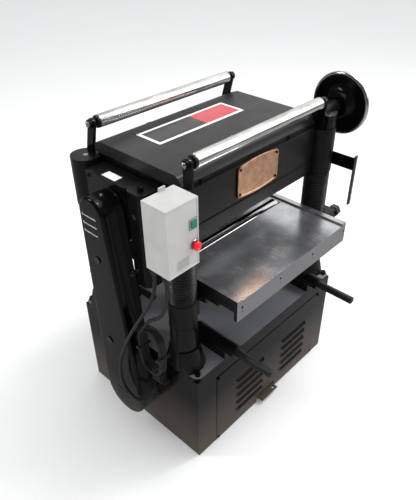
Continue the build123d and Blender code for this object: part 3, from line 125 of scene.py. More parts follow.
def surface(name, **inputs):
    """A new material: its node tree, its shader and the place on the piece in metres."""
    made = bpy.data.materials.new(name)
    made.use_nodes = True
    tree = made.node_tree
    shader = tree.nodes["Principled BSDF"]
    for key, value in inputs.items():
        shader.inputs[key.replace("_", " ")].default_value = value
    place = add(tree, "ShaderNodeTexCoord").outputs["Object"]
    return made, tree, shader, place


def noise(tree, place, size, stretch=(1, 1, 1), detail=2.0):
    """Noise whose blotches are about size metres across, stretched along the axes by the given factors."""
    mapped = add(tree, "ShaderNodeMapping", {"Vector": place, "Scale": [1 / s for s in stretch]})
    made = add(tree, "ShaderNodeTexNoise", {"Vector": mapped.outputs[0], "Scale": 1 / size, "Detail": detail})
    return made.outputs["Fac"]


def spread(tree, value, low, high, start=0.3, end=0.7):
    """A value from start to end, spread over low to high."""
    return add(tree, "ShaderNodeMapRange", {"Value": value, "From Min": start, "From Max": end,
                                            "To Min": low, "To Max": high}).outputs[0]


def between(tree, value, first, second):
    """The colour first where value is 0, and second where it is 1."""
    return add(tree, "ShaderNodeMix", {0: value, 6: first, 7: second}, data_type="RGBA").outputs[2]


def reckoned(tree, operation, first, second):
    """Two values added up or multiplied."""
    return add(tree, "ShaderNodeMath", {0: first, 1: second}, operation=operation).outputs[0]


def relief(tree, shader, height, depth):
    """Raises the surface by height times depth metres."""
    bump = add(tree, "ShaderNodeBump", {"Height": height, "Distance": depth, "Strength": 1.0})
    tree.links.new(bump.outputs[0], shader.inputs["Normal"])


def coloured(tree, shader, value, first, second, start=0.3, end=0.7):
    """Colours the surface first where value is at start, and second where it is at end."""
    colour = between(tree, spread(tree, value, 0, 1, start, end), first, second)
    tree.links.new(colour, shader.inputs["Base Color"])


def roughened(tree, shader, value, smooth, rough):
    tree.links.new(spread(tree, value, smooth, rough), shader.inputs["Roughness"])


def mottled(name, size, detail, dark, light, smooth, rough, **inputs):
    """A material that one noise takes from dark and smooth to light and rough."""
    made, tree, shader, place = surface(name, **inputs)
    patch = noise(tree, place, size, detail=detail)
    coloured(tree, shader, patch, dark, light)
    roughened(tree, shader, patch, smooth, rough)
    return made, tree, shader, place


def stoved_enamel(name):
    """Gloss black stoving enamel on steel sheet: a deep reflection, a faint orange peel, and low down a
    speckled painted reflection of the floor.
    """
    made, tree, shader, place = surface(name, Specular_IOR_Level=0.22)
    # painted reflection: up to 0.26 m over the floor the enamel colour is blended, speckled, towards a warm
    # brown-grey that stands for the floor mirrored in the gloss
    reflection_height = 0.26
    reflection_mask = spread(tree, add(tree, "ShaderNodeSeparateXYZ", {0: place}).outputs["Z"], 1, 0, 0.0, reflection_height)
    specks = spread(tree, noise(tree, place, 0.003, detail=6), 0.6, 1.0)
    speckled_reflection = reckoned(tree, "MULTIPLY", reflection_mask, specks)
    tree.links.new(between(tree, speckled_reflection, colours().enamel, colours().painted_floor_reflection), shader.inputs["Base Color"])
    roughened(tree, shader, noise(tree, place, 0.09), 0.13, 0.22)
    # orange peel is about 1 mm; it is drawn 6 mm wide so that it shows
    relief(tree, shader, noise(tree, place, 0.006), 0.00012)
    return made


def casting_paint(name):
    """Satin black paint on grey iron: the sand's grain shows through as a soft pebble."""
    black = colours().casting
    made, tree, shader, place = mottled(name, 0.05, 4, black, scaled(black, 1.6), 0.24, 0.38,
                                        Specular_IOR_Level=0.24)
    relief(tree, shader, noise(tree, place, 0.004, detail=4), 0.00025)
    return made


def primed_iron(name):
    """Grey primer on the base's top face, speckled by the casting's pores and by fine chips."""
    made, tree, shader, place = surface(name, Specular_IOR_Level=0.4)
    speck = noise(tree, place, 0.003, detail=5)
    coloured(tree, shader, speck, colours().primer_dark, colours().primer, 0.25, 0.75)
    roughened(tree, shader, noise(tree, place, 0.05), 0.4, 0.6)
    relief(tree, shader, speck, 0.0003)
    return made


def table_iron(name):
    """Ground grey iron: a soft sheen drawn out along the grinding, with faint oil blotches."""
    made, tree, shader, place = surface(name, Metallic=0.88)
    lines = noise(tree, place, 0.002, stretch=(1, 60, 1), detail=3)
    blotch = noise(tree, place, 0.08, detail=3)
    coloured(tree, shader, blotch, colours().iron_dark, colours().iron)
    rough = reckoned(tree, "ADD", spread(tree, lines, -0.03, 0.03), spread(tree, blotch, 0.2, 0.27))
    tree.links.new(rough, shader.inputs["Roughness"])
    relief(tree, shader, lines, 0.00001)
    return made


def cast_iron_side(name):
    """Bare ends of the table casting: grey and rough, with fine pores."""
    made, tree, shader, place = surface(name, Metallic=0.7)
    grain = noise(tree, place, 0.002, detail=6)
    coloured(tree, shader, grain, colours().apron_dark, colours().apron)
    roughened(tree, shader, grain, 0.36, 0.5)
    relief(tree, shader, grain, 0.0001)
    return made


def turned_steel(name, along=(1, 1, 60)):
    """Bright turned steel: fine rings round the axis, which along leaves thin."""
    made, tree, shader, place = surface(name, Metallic=1.0)
    rings = noise(tree, place, 0.0015 * 60, stretch=[1 / s for s in along], detail=3)
    coloured(tree, shader, rings, linear("#8f9093"), linear("#cfd0d2"))
    roughened(tree, shader, rings, 0.22, 0.36)
    return made


def chrome_plate(name):
    """Plated roller tube: near mirror, with faint rings left by polishing and a few dull rub marks."""
    made, tree, shader, place = surface(name, Metallic=1.0)
    rings = noise(tree, place, 0.003, stretch=(1, 200, 200), detail=2)
    rubs = noise(tree, place, 0.03, stretch=(3, 1, 1), detail=4)
    coloured(tree, shader, rubs, linear("#bdbbb6"), linear("#e9e8e5"), 0.35, 0.6)
    rough = reckoned(tree, "ADD", spread(tree, rings, 0.0, 0.05), spread(tree, rubs, 0.18, 0.08))
    tree.links.new(rough, shader.inputs["Roughness"])
    return made


def moulded_rubber(name):
    """Black nitrile rubber: a soft sheen on each fold and a grey bloom in patches."""
    made, tree, shader, place = mottled(name, 0.02, 4, linear("#0e0e0f"), linear("#1d1d20"), 0.3, 0.46,
                                        Specular_IOR_Level=0.45)
    relief(tree, shader, noise(tree, place, 0.002), 0.0001)
    return made


def cable_sheath(name):
    """Extruded PVC sheath: dark and slightly waxy."""
    return mottled(name, 0.015, 3, linear("#0c0c0d"), linear("#19191b"), 0.3, 0.45, Specular_IOR_Level=0.5)[0]


def box_enamel(name):
    """White powder coat on the switch box: satin, with a fine even pebble."""
    white = colours().box
    made, tree, shader, place = mottled(name, 0.04, 3, scaled(white, 0.9), white, 0.32, 0.42,
                                        Specular_IOR_Level=0.5)
    relief(tree, shader, noise(tree, place, 0.003), 0.00008)
    return made


def copper_plate(name):
    """Copper-plated zinc badge: warm metal, brown where the plating has toned."""
    copper = colours().copper
    made, tree, shader, place = mottled(name, 0.02, 5, scaled(copper, 0.62), copper, 0.3, 0.44, Metallic=1.0)
    relief(tree, shader, noise(tree, place, 0.002, detail=4), 0.0001)
    return made


def cover_enamel(name):
    """Satin dark enamel on the top cover: greyer than the rest, with a long soft reflection."""
    grey = colours().cover
    made, tree, shader, place = mottled(name, 0.07, 3, grey, scaled(grey, 1.35), 0.36, 0.46,
                                        Specular_IOR_Level=0.4)
    relief(tree, shader, noise(tree, place, 0.004), 0.00012)
    return made


def floor_paint(name):
    """Smooth pale floor: nearly white where it is seen, so that only the object's shadow shows on it."""
    made, tree, shader, place = surface(name, Roughness=0.6, Specular_IOR_Level=0.2)
    tint = colours().floor
    seen = between(tree, spread(tree, noise(tree, place, 0.5), 0, 1), scaled(tint, 0.985), tint)
    # gloss black mirrors the floor, and a darker floor in the mirror keeps the black deep
    mirrored = add(tree, "ShaderNodeLightPath").outputs["Is Glossy Ray"]
    tree.links.new(between(tree, mirrored, seen, linear("#969696")), shader.inputs["Base Color"])
    return made


def printed(name, code):
    """Screen-printed ink on an aluminium plate: flat and even, slightly glossy."""
    made, tree, shader, place = surface(name, Roughness=0.3, Specular_IOR_Level=0.5)
    ink = linear(code)
    coloured(tree, shader, noise(tree, place, 0.03, detail=3), ink, scaled(ink, 1.12, 0.004))
    return made


def moulded_plastic(name, code, roughness=0.28):
    """Glossy moulded plastic: even colour, a little rubbed."""
    plain = linear(code)
    return mottled(name, 0.008, 3, plain, scaled(plain, 1.25, 0.003), roughness - 0.05, roughness + 0.07,
                   Specular_IOR_Level=0.5)[0]


def plain_metal(name, dark, light, roughness):
    """A small steel or bronze part: even metal, mottled by oil and handling."""
    return mottled(name, 0.01, 4, linear(dark), linear(light), roughness - 0.06, roughness + 0.08,
                   Metallic=1.0)[0]


# what makes each material, and with what. No name here is one that the frame gives a material of its own.
MATERIALS = {
    "stoved_enamel": (stoved_enamel,), "casting_paint": (casting_paint,), "primed_iron": (primed_iron,),
    "table_iron": (table_iron,), "cast_iron_side": (cast_iron_side,), "turned_steel": (turned_steel,),
    "chrome_plate": (chrome_plate,), "moulded_rubber": (moulded_rubber,), "cable_sheath": (cable_sheath,),
    "box_enamel": (box_enamel,), "copper_plate": (copper_plate,), "cover_enamel": (cover_enamel,),
    "floor_paint": (floor_paint,),
    "roller_steel": (turned_steel, (60, 1, 1)),
    "plate_white": (printed, "#e8e9ea"),
    "plate_black": (printed, "#1c1c1e"),
    "plate_red": (printed, "#b83a45"),
    "label_grey": (printed, "#9a9a98"),
    "green_cap": (moulded_plastic, "#0f6e52"),
    "red_cap": (moulded_plastic, "#f01a2e", 0.22),
    "phenolic": (moulded_plastic, "#0b0b0c", 0.2),
    "black_nylon": (moulded_plastic, "#121213", 0.42),
    "slot_shade": (moulded_plastic, "#050505", 0.7),
    "bar_paint": (moulded_plastic, "#161617", 0.36),
    "zinc_steel": (plain_metal, "#9b9da1", "#d0d2d5", 0.28),
    "blacked_steel": (plain_metal, "#121214", "#28282b", 0.4),
    "oiled_chain": (plain_metal, "#2c2822", "#5d564c", 0.4),
    "knife_steel": (plain_metal, "#b5b7ba", "#dcdee0", 0.18),
    "chrome_plate_wheel": (plain_metal, "#c9c9c7", "#ececea", 0.1),
    "cast_bronze": (plain_metal, "#7a5c30", "#b08a4e", 0.32),
}


def finish(name):
    """The material of that name, made the first time it is asked for."""
    maker, *how = MATERIALS[name]
    return bpy.data.materials.get(name) or maker(name, *how)


# ---- shapes ------------------------------------------------------------------------------------
def turned_to(direction):
    """The turn that points +Z along a direction."""
    return Vector((0, 0, 1)).rotation_difference(Vector(direction)).to_matrix().to_4x4()


def joined(*shapes):
    """Several shapes as one, in which each stays a closed shell."""
    whole = shapes[0]
    for other in shapes[1:]:
        carrier = bpy.data.meshes.new("carrier")
        other.to_mesh(carrier)
        other.free()
        whole.from_mesh(carrier)
        bpy.data.meshes.remove(carrier)
    return whole


def rounded(shape, edge, segments=3, chosen=None):
    """Rounds the sharp edges of a shape, or the chosen ones among them."""
    crease = math.radians(35)
    sharp = [e for e in shape.edges if e.is_manifold and e.calc_face_angle(0) > crease
             and (chosen is None or chosen(e))]
    bmesh.ops.bevel(shape, geom=sharp, offset=edge, offset_type="OFFSET", segments=segments, profile=0.5,
                    affect="EDGES", clamp_overlap=chosen is None, material=-1)
    return shape


def cuboid(low, high, edge=0.0):
    shape = bmesh.new()
    low, high = Vector(low), Vector(high)
    size = high - low
    bmesh.ops.create_cube(shape, size=1, matrix=Matrix.LocRotScale((low + high) / 2, None, size))
    return rounded(shape, edge) if edge else shape


def rod(start, end, radius, edge=0.0, sides=48):
    """A round bar from start to end, or a prism when it has few sides."""
    shape = bmesh.new()
    start, end = Vector(start), Vector(end)
    place = Matrix.Translation((start + end) / 2) @ turned_to(end - start)
    bmesh.ops.create_cone(shape, cap_ends=True, segments=sides, radius1=radius, radius2=radius,
                          depth=(end - start).length, matrix=place)
    return rounded(shape, edge) if edge else shape


def spun(profile, centre, axis, steps=64):
    """A closed shape turned about an axis through centre, from (distance along the axis, radius) points."""
    shape = bmesh.new()
    points = [shape.verts.new((radius, 0, along)) for along, radius in profile]
    edges = [shape.edges.new(pair) for pair in zip(points, points[1:])]
    if min(profile[0][1], profile[-1][1]) > 0:
        edges.append(shape.edges.new((points[-1], points[0])))
    bmesh.ops.spin(shape, geom=points + edges, cent=(0, 0, 0), axis=(0, 0, 1), angle=FULL_TURN, steps=steps,
                   use_merge=True)
    bmesh.ops.remove_doubles(shape, verts=shape.verts, dist=MERGE)
    bmesh.ops.recalc_face_normals(shape, faces=shape.faces)
    bmesh.ops.transform(shape, matrix=Matrix.Translation(centre) @ turned_to(axis), verts=shape.verts)
    return shape


def copied(node):
    """A merged copy of a CAD piece, with each flat face in as few faces as it needs."""
    shape = bmesh.new()
    shape.from_mesh(frame["nodes"][node].data)
    bmesh.ops.remove_doubles(shape, verts=shape.verts, dist=MERGE)
    bmesh.ops.dissolve_limit(shape, angle_limit=math.radians(0.2), verts=shape.verts, edges=shape.edges)
    return shape


def painted_where(shape, number, test):
    """Gives the finish of that number to the faces that pass a test."""
    for face in shape.faces:
        if test(face, face.calc_center_median()):
            face.material_index = number
    return shape


def corner_normals(shape, crease):
    """Normals in which each face counts by its area, so that a flat face stays flat to its edges."""
    shape.normal_update()
    shape.faces.index_update()
    areas = [face.calc_area() for face in shape.faces]
    limit = math.cos(math.radians(crease))
    normals = []
    for face in shape.faces:
        for corner in face.loops:
            near = [other for other in corner.vert.link_faces if face.normal.dot(other.normal) > limit]
            total = sum((other.normal * areas[other.index] for other in near), Vector())
            normals.append(total.normalized() if total.length > 1e-14 else face.normal.copy())
    return normals


def piece(name, shape, body, finishes, replaces=(), crease=50):
    """Makes a shape a piece that rides on a CAD body, or on none when it stretches between two, and may stand
    for CAD pieces."""
    mesh = bpy.data.meshes.new(name)
    bmesh.ops.triangulate(shape, faces=[f for f in shape.faces if len(f.verts) > 4])
    normals = corner_normals(shape, crease)
    shape.to_mesh(mesh)
    shape.free()
    mesh.shade_smooth()
    if body:
        mesh.normals_split_custom_set(normals)
    for finish_name in finishes:
        mesh.materials.append(finish(finish_name))
    made = bpy.data.objects.new(name, mesh)
    bpy.context.scene.collection.objects.link(made)
    if body:
        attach(made, body)
    if replaces:
        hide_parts(*replaces)
    return made


def softened(node, finishes, edge, tests=(), shape=None):
    """Stands for a CAD piece: the same shape with its sharp edges rounded, finished where each test says."""
    shape = rounded(copied(node) if shape is None else shape, edge, segments=2)
    for number, test in enumerate(tests, 1):
        painted_where(shape, number, test)
    body = frame["nodes"][node]["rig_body"]
    return piece(node + "_finished", shape, body, finishes, [node])


def sizes():
    return bpy.context.scene.planer_sizes


def colours():
    return bpy.context.scene.planer_colours


def middle(node):
    low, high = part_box(node)
    return (low + high) / 2


def column_places():
    """The middle of each column, by the name of its corner."""
    return {corner: middle("leadscrew_" + corner).xy for corner in CORNERS}


# ---- sizes and colours a user may change -------------------------------------------------------
class PlanerSizes(bpy.types.PropertyGroup):
    """Radii and counts of the finishing details."""

    casting_edge: FloatProperty(name="Casting edge", description="Radius of the castings' edges",
                                default=0.0025, min=0.0005, max=0.006, unit="LENGTH")
    sheet_edge: FloatProperty(name="Sheet edge", description="Radius of the bends in the sheet covers",
                              default=0.0014, min=0.0005, max=0.003, unit="LENGTH")
    machined_edge: FloatProperty(name="Machined edge", description="Broken edge of machined parts",
                                 default=0.0008, min=0.0002, max=0.002, unit="LENGTH")
    guard_edge: FloatProperty(name="Guard edge", description="Radius round the face of the belt guard",
                              default=0.009, min=0.003, max=0.010, unit="LENGTH")
    bellows_ribs: IntProperty(name="Bellows ribs", description="Folds in each column's bellows",
                              default=18, min=8, max=30)
    rib_depth: FloatProperty(name="Rib depth", description="How deep the bellows' grooves are",
                             default=0.0055, min=0.001, max=0.006, unit="LENGTH")
    cable_diameter: FloatProperty(name="Cable diameter", description="Outer diameter of both cables",
                                  default=0.010, min=0.006, max=0.012, unit="LENGTH")
    hank_turns: FloatProperty(name="Hank turns", description="Turns in the tied hank of the supply cord",
                              default=3.5, min=1.5, max=3.5)
    floor_size: FloatProperty(name="Floor size", description="Side of the studio floor",
                              default=30.0, min=5.0, max=100.0, unit="LENGTH")


def colour(name, description, code):
    return FloatVectorProperty(name=name, description=description, subtype="COLOR", size=4, min=0, max=1,
                               default=linear(code))


class PlanerColours(bpy.types.PropertyGroup):
    """Colours of the main finishes."""

    enamel: colour("Enamel", "Gloss black of the sheet covers", "#060607")
    # painted reflection: this warm brown-grey, blended into the enamel low down, stands for the floor
    # mirrored in the gloss
    painted_floor_reflection: colour("Dust", "Warm dust low on the cabinet", "#5a5148")
    casting: colour("Casting", "Satin black of the castings", "#0b0b0c")
    cover: colour("Top cover", "Satin dark grey of the top cover", "#1b1b1d")
    primer: colour("Primer", "Light specks of the base's top", "#939499")
    primer_dark: colour("Primer dark", "Dark specks of the base's top", "#5c5d62")
    iron: colour("Iron", "Ground face of the table", "#cfd0d2")
    iron_dark: colour("Iron dark", "Oiled patches of the table", "#a3a4a8")
    apron: colour("Apron", "Side of the table casting", "#a09fa1")
    apron_dark: colour("Apron dark", "Pores of the table's side", "#87878a")
    box: colour("Box", "White of the switch box", "#bcbbb9")
    copper: colour("Copper", "Badge plating", "#f0bd99")
    floor: colour("Floor", "Studio floor", "#f7f7f6")


class Undoable:
    """What the operators share: each can be undone and done again with other values."""

    bl_options = {"REGISTER", "UNDO"}


# ---- operators: castings, cabinet and columns ---------------------------------------------------
class PLANER_OT_base_casting(Undoable, bpy.types.Operator):
    """Adds the base casting: black cone bosses round a primed grey top"""

    bl_idname = "planer.base_casting"
    bl_label = "Base casting"

    def execute(self, context):
        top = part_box("cabinet")[1].z + BASE_PLATE

        def primed(face, at):
            return face.normal.z > 0.99 and abs(at.z - top) < 0.001

        softened("base_casting", ["casting_paint", "primed_iron"], sizes().casting_edge, tests=[primed])
        # a thin tube lines each boss, so that the bright column doesn't show through the boss's open side
        lip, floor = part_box("base_casting")[1].z - 0.0005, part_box("cabinet")[1].z + 0.005
        inner, outer = 0.04262, 0.04290
        wall = [(floor, inner), (lip, inner), (lip, outer), (floor, outer)]
        liners = [spun(wall, (x, y, 0), (0, 0, 1), steps=72) for x, y in column_places().values()]
        piece("boss_liners", joined(*liners), "frame", ["casting_paint"])
        return {"FINISHED"}


class PLANER_OT_cabinet(Undoable, bpy.types.Operator):
    """Adds the enamelled cabinet and its louvred front panel"""

    bl_idname = "planer.cabinet"
    bl_label = "Cabinet and front panel"

    def execute(self, context):
        softened("cabinet", ["stoved_enamel"], sizes().sheet_edge)
        shape = rounded(copied("front_panel"), sizes().machined_edge * 0.4, segments=2)
        lip, draft, recess, least_area = 0.0022, 0.0003, 0.0035, 0.001
        slopes = [f for f in shape.faces
                  if f.normal.z > 0.2 and f.normal.y < -0.2 and f.calc_area() > least_area]
        bmesh.ops.inset_individual(shape, faces=slopes, thickness=lip, depth=0)
        bmesh.ops.inset_individual(shape, faces=slopes, thickness=draft, depth=-recess)
        for face in slopes:
            face.material_index = 1
        piece("front_panel_finished", shape, "frame", ["stoved_enamel", "slot_shade"], ["front_panel"])
        return {"FINISHED"}


class PLANER_OT_columns(Undoable, bpy.types.Operator):
    """Adds the bright columns and the leadscrews inside them"""

    bl_idname = "planer.columns"
    bl_label = "Columns and leadscrews"

    def execute(self, context):
        softened("columns", ["turned_steel"], sizes().machined_edge)
        for corner in CORNERS:
            softened("leadscrew_" + corner, ["turned_steel"], sizes().machined_edge)
        softened("lift_nuts", ["cast_bronze"], sizes().machined_edge)
        return {"FINISHED"}


class PLANER_OT_table(Undoable, bpy.types.Operator):
    """Adds the table: a ground face, bare cast ends, and painted sleeves and ribs"""

    bl_idname = "planer.table"
    bl_label = "Table"

    def execute(self, context):
        end_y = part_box("table")[1].y - 0.003
        face_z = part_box("table_roller_front")[1].z - 0.001

        def ground(face, at):
            return at.z > face_z and (face.normal.z > 0.5 or abs(face.normal.x) > 0.5)

        def bare(face, at):
            return abs(face.normal.y) > 0.5 and abs(at.y) > end_y

        softened("table", ["casting_paint", "table_iron", "cast_iron_side"], sizes().machined_edge,
                 tests=[ground, bare])
        for end in ("front", "rear"):
            softened("table_roller_" + end, ["chrome_plate_wheel"], sizes().machined_edge)
        return {"FINISHED"}


class PLANER_OT_bellows(Undoable, bpy.types.Operator):
    """Adds the ribbed rubber bellows that close each column between its sleeve and its socket"""

    bl_idname = "planer.bellows"
    bl_label = "Bellows"

    def execute(self, context):
        low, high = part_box("bellows")
        radius = (high.x - low.x) / 2 - column_places()["front_right"].x
        ribs, depth = sizes().bellows_ribs, sizes().rib_depth
        wall, steps = 0.0012, 8
        length = high.z - low.z
        wave = [(length * i / (ribs * steps), radius - depth * (1 - abs(math.sin(math.pi * i / steps))))
                for i in range(ribs * steps + 1)]
        inside = [(along, r - wall) for along, r in reversed(wave)]
        for corner, (x, y) in column_places().items():
            shape = spun(wave + inside, (x, y, low.z), (0, 0, 1), steps=56)
            made = piece("bellows_" + corner, shape, None, ["moulded_rubber"], ["bellows"])
            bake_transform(made)
        return {"FINISHED"}


class PLANER_OT_head(Undoable, bpy.types.Operator):
    """Adds the head casting and the elevation housing on it, whose lid is plain steel"""

    bl_idname = "planer.head"
    bl_label = "Head casting"

    def execute(self, context):
        softened("head_casting", ["casting_paint"], sizes().casting_edge)
        softened("elevation_housing", ["casting_paint", "zinc_steel"], sizes().casting_edge * 0.6,
                 tests=[lambda face, at: face.normal.z > 0.9 and abs(at.z - LID_HEIGHT) < 0.003])
        return {"FINISHED"}


class PLANER_OT_cutting(Undoable, bpy.types.Operator):
    """Adds what turns and swings under the head: cutterhead, feed rollers, chip breaker and fingers"""

    bl_idname = "planer.cutting"
    bl_label = "Cutterhead and feed"

    def execute(self, context):
        edge = sizes().machined_edge * 0.6
        softened("cutterhead", ["roller_steel"], edge, shape=self.eased_journals())
        for node, name in (("knives", "knife_steel"), ("bearings", "zinc_steel"),
                           ("cutterhead_pulley", "zinc_steel"), ("infeed_roller", "roller_steel"),
                           ("outfeed_roller", "roller_steel"), ("chip_breaker", "blacked_steel"),
                           ("kickback_fingers", "blacked_steel"), ("bars_and_axles", "blacked_steel"),
                           ("gearbox_gears", "zinc_steel"), ("chains", "oiled_chain")):
            softened(node, [name], edge)
        return {"FINISHED"}

    def eased_journals(self):
        """The cutterhead with thinner journals, whose facets turn clear of those of the bearings."""
        near, easing = 0.0005, 0.0003
        shape = copied("cutterhead")
        axis = middle("cutterhead")
        for vert in shape.verts:
            out = Vector((0, vert.co.y - axis.y, vert.co.z - axis.z))
            if abs(out.length - JOURNAL) < near:
                vert.co -= out.normalized() * easing
        return shape


class PLANER_OT_drive(Undoable, bpy.types.Operator):
    """Adds the motor, its rotor and pulley, and the V-belts"""

    bl_idname = "planer.drive"
    bl_label = "Motor and belts"

    def execute(self, context):
        softened("motor", ["casting_paint"], sizes().casting_edge)
        softened("motor_rotor", ["zinc_steel"], sizes().machined_edge * 0.6)
        softened("v_belts", ["moulded_rubber"], sizes().machined_edge * 0.6)
        return {"FINISHED"}


# ---- operators: covers ---------------------------------------------------------------------------
class PLANER_OT_top_cover(Undoable, bpy.types.Operator):
    """Adds the satin top cover and the dust hood"""

    bl_idname = "planer.top_cover"
    bl_label = "Top cover and dust hood"

    def execute(self, context):
        softened("top_cover", ["cover_enamel"], sizes().sheet_edge)
        softened("dust_hood", ["stoved_enamel"], sizes().sheet_edge)
        return {"FINISHED"}


class PLANER_OT_name_plate(Undoable, bpy.types.Operator):
    """Adds the blank plate on the top cover: a white border round a black field and a red one"""

    bl_idname = "planer.name_plate"
    bl_label = "Name plate"

    def execute(self, context):
        low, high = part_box("name_plate")
        border, ink, rivet_inset = 0.0105, 0.0003, 0.004
        split = low.x + (high.x - low.x) * 0.56
        back = cuboid(low, high, sizes().machined_edge * 0.4)
        fields = [cuboid((x0, low.y + border, high.z - ink), (x1, high.y - border, high.z + ink))
                  for x0, x1 in ((low.x + border, split), (split, high.x - border))]
        plate = joined(back, *fields)

        def inked(face, at):
            return at.z > high.z - 0.5 * ink and max(v.co.z for v in face.verts) > high.z + 0.0002

        painted_where(plate, 1, lambda face, at: inked(face, at) and at.x < split)
        painted_where(plate, 2, lambda face, at: inked(face, at) and at.x > split)
        piece("name_plate_finished", plate, "frame", ["plate_white", "plate_black", "plate_red"],
              ["name_plate"])
        rivets = [spun(DOME, (x, y, high.z - 0.0002), (0, 0, 1), steps=16)
                  for x in (low.x + rivet_inset, high.x - rivet_inset)
                  for y in (low.y + rivet_inset, high.y - rivet_inset)]
        piece("name_plate_rivets", joined(*rivets), "frame", ["zinc_steel"])
        return {"FINISHED"}


class PLANER_OT_badge(Undoable, bpy.types.Operator):
    """Adds the bare copper badge: a bowed plate with a raised rim round a sunk field"""

    bl_idname = "planer.badge"
    bl_label = "Badge"

    def execute(self, context):
        low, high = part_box("badge")
        shape = bmesh.new()
        rim, wall, sunk, chamfer = 0.005, 0.0012, 0.0012, 0.0005
        rings = [self.ring(shape, low, high, inset, y) for inset, y in (
            (0, high.y), (0, low.y + chamfer), (chamfer, low.y), (rim, low.y), (rim + wall, low.y + sunk))]
        for outer, inner in zip(rings, rings[1:]):
            for i, corner in enumerate(outer):
                shape.faces.new((outer[i - 1], corner, inner[i], inner[i - 1]))
        shape.faces.new(rings[0])
        shape.faces.new(rings[-1])
        bmesh.ops.recalc_face_normals(shape, faces=shape.faces)
        piece("badge_finished", shape, "frame", ["copper_plate"], ["badge"], crease=30)
        return {"FINISHED"}

    def ring(self, shape, low, high, inset, y):
        """Points round the badge, whose ends are straight and whose top and bottom are bowed."""
        bow, corner_r, steps = 0.008, 0.012, 8
        middle_x, middle_z = (low.x + high.x) / 2, (low.z + high.z) / 2
        half, tall = (high.x - low.x) / 2 - inset, (high.z - low.z) / 2 - inset
        quarter = []
        for i in range(steps + 1):
            across = i / steps * (half - corner_r)
            quarter.append((across, tall - bow * (across / half) ** 2))
        x, z = quarter[-1]
        for i in range(1, steps + 1):
            angle = math.pi / 2 * i / steps
            quarter.append((x + corner_r * math.sin(angle), z - corner_r * (1 - math.cos(angle))))
        right = quarter + [(x, -z) for x, z in reversed(quarter)]
        outline = right + [(-x, z) for x, z in reversed(right[1:-1])]
        return [shape.verts.new((middle_x + x, y, middle_z + z)) for x, z in outline]


class PLANER_OT_return_rollers(Undoable, bpy.types.Operator):
    """Adds the two chromed return rollers with their end rings, axle nuts and brackets"""

    bl_idname = "planer.return_rollers"
    bl_label = "Return rollers"

    def execute(self, context):
        softened("roller_brackets", ["stoved_enamel"], sizes().sheet_edge)
        nuts = []
        ring, wall, edge, bore = 0.007, 0.003, 0.0008, 0.0082
        for end in ("front", "rear"):
            node = "return_roller_" + end
            low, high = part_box(node)
            radius = (high.z - low.z) / 2
            centre = middle(node)
            far = high.x - low.x - ring
            tube = [(ring, radius - wall), (ring, radius - edge), (ring + edge, radius),
                    (far - edge, radius), (far, radius - edge), (far, radius - wall)]
            body = frame["nodes"][node]["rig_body"]
            piece(node + "_tube", spun(tube, (low.x, centre.y, centre.z), (1, 0, 0), steps=72), body,
                  ["chrome_plate"], [node])
            cap_r, cap_end = radius - 0.0006, ring - 0.0002
            cap = [(0, bore), (0, radius - 0.002), (0.0015, cap_r), (cap_end, cap_r), (cap_end, bore)]
            caps = [spun(cap, (x, centre.y, centre.z), facing, steps=48)
                    for x, facing in ((low.x, (1, 0, 0)), (high.x, (-1, 0, 0)))]
            piece(node + "_caps", joined(*caps), body, ["black_nylon"])
            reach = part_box("bars_and_axles")[1].x
            for side in (-1, 1):
                inner, face, dome = (Vector((side * x, centre.y, centre.z))
                                     for x in (reach - 0.001, reach + AXLE_NUT, reach + AXLE_NUT - 0.0005))
                nuts.append(rod(inner, face, 0.0098, sides=6, edge=edge))
                nuts.append(spun(DOME_NUT, dome, (side, 0, 0), steps=32))
        piece("axle_nuts", joined(*nuts), "frame", ["zinc_steel"])
        return {"FINISHED"}


class PLANER_OT_side_cover(Undoable, bpy.types.Operator):
    """Adds the side cover with its blank label, and the gearbox with its plug and speed knob"""

    bl_idname = "planer.side_cover"
    bl_label = "Side cover and gearbox"

    def execute(self, context):
        for node in ("side_cover", "gearbox_housing"):
            softened(node, ["casting_paint"], sizes().casting_edge * 0.8)
        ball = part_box("speed_knob")[0].x + 0.02
        softened("speed_knob", ["zinc_steel", "phenolic"], sizes().machined_edge * 0.3,
                 tests=[lambda face, at: at.x < ball])
        low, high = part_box("side_cover")
        spot = Vector((low.x + 0.022, low.y + 0.0795, high.z))
        half = Vector((0.014, 0.0285, 0))
        label = cuboid(spot - half - Vector((0, 0, 0.0001)), spot + half + Vector((0, 0, 0.0004)))
        piece("side_cover_label", label, "frame", ["plate_white"])
        low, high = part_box("gearbox_housing")
        seat, face, dome = (Vector((low.x + 0.026, low.y + 0.030, high.z + rise))
                            for rise in (-0.004, 0.006, 0.0055))
        plug = joined(rod(seat, face, 0.0095, sides=6, edge=0.0008),
                      spun(DOME_NUT, dome, (0, 0, 1), steps=24))
        piece("gearbox_plug", plug, "frame", ["blacked_steel"])
        return {"FINISHED"}


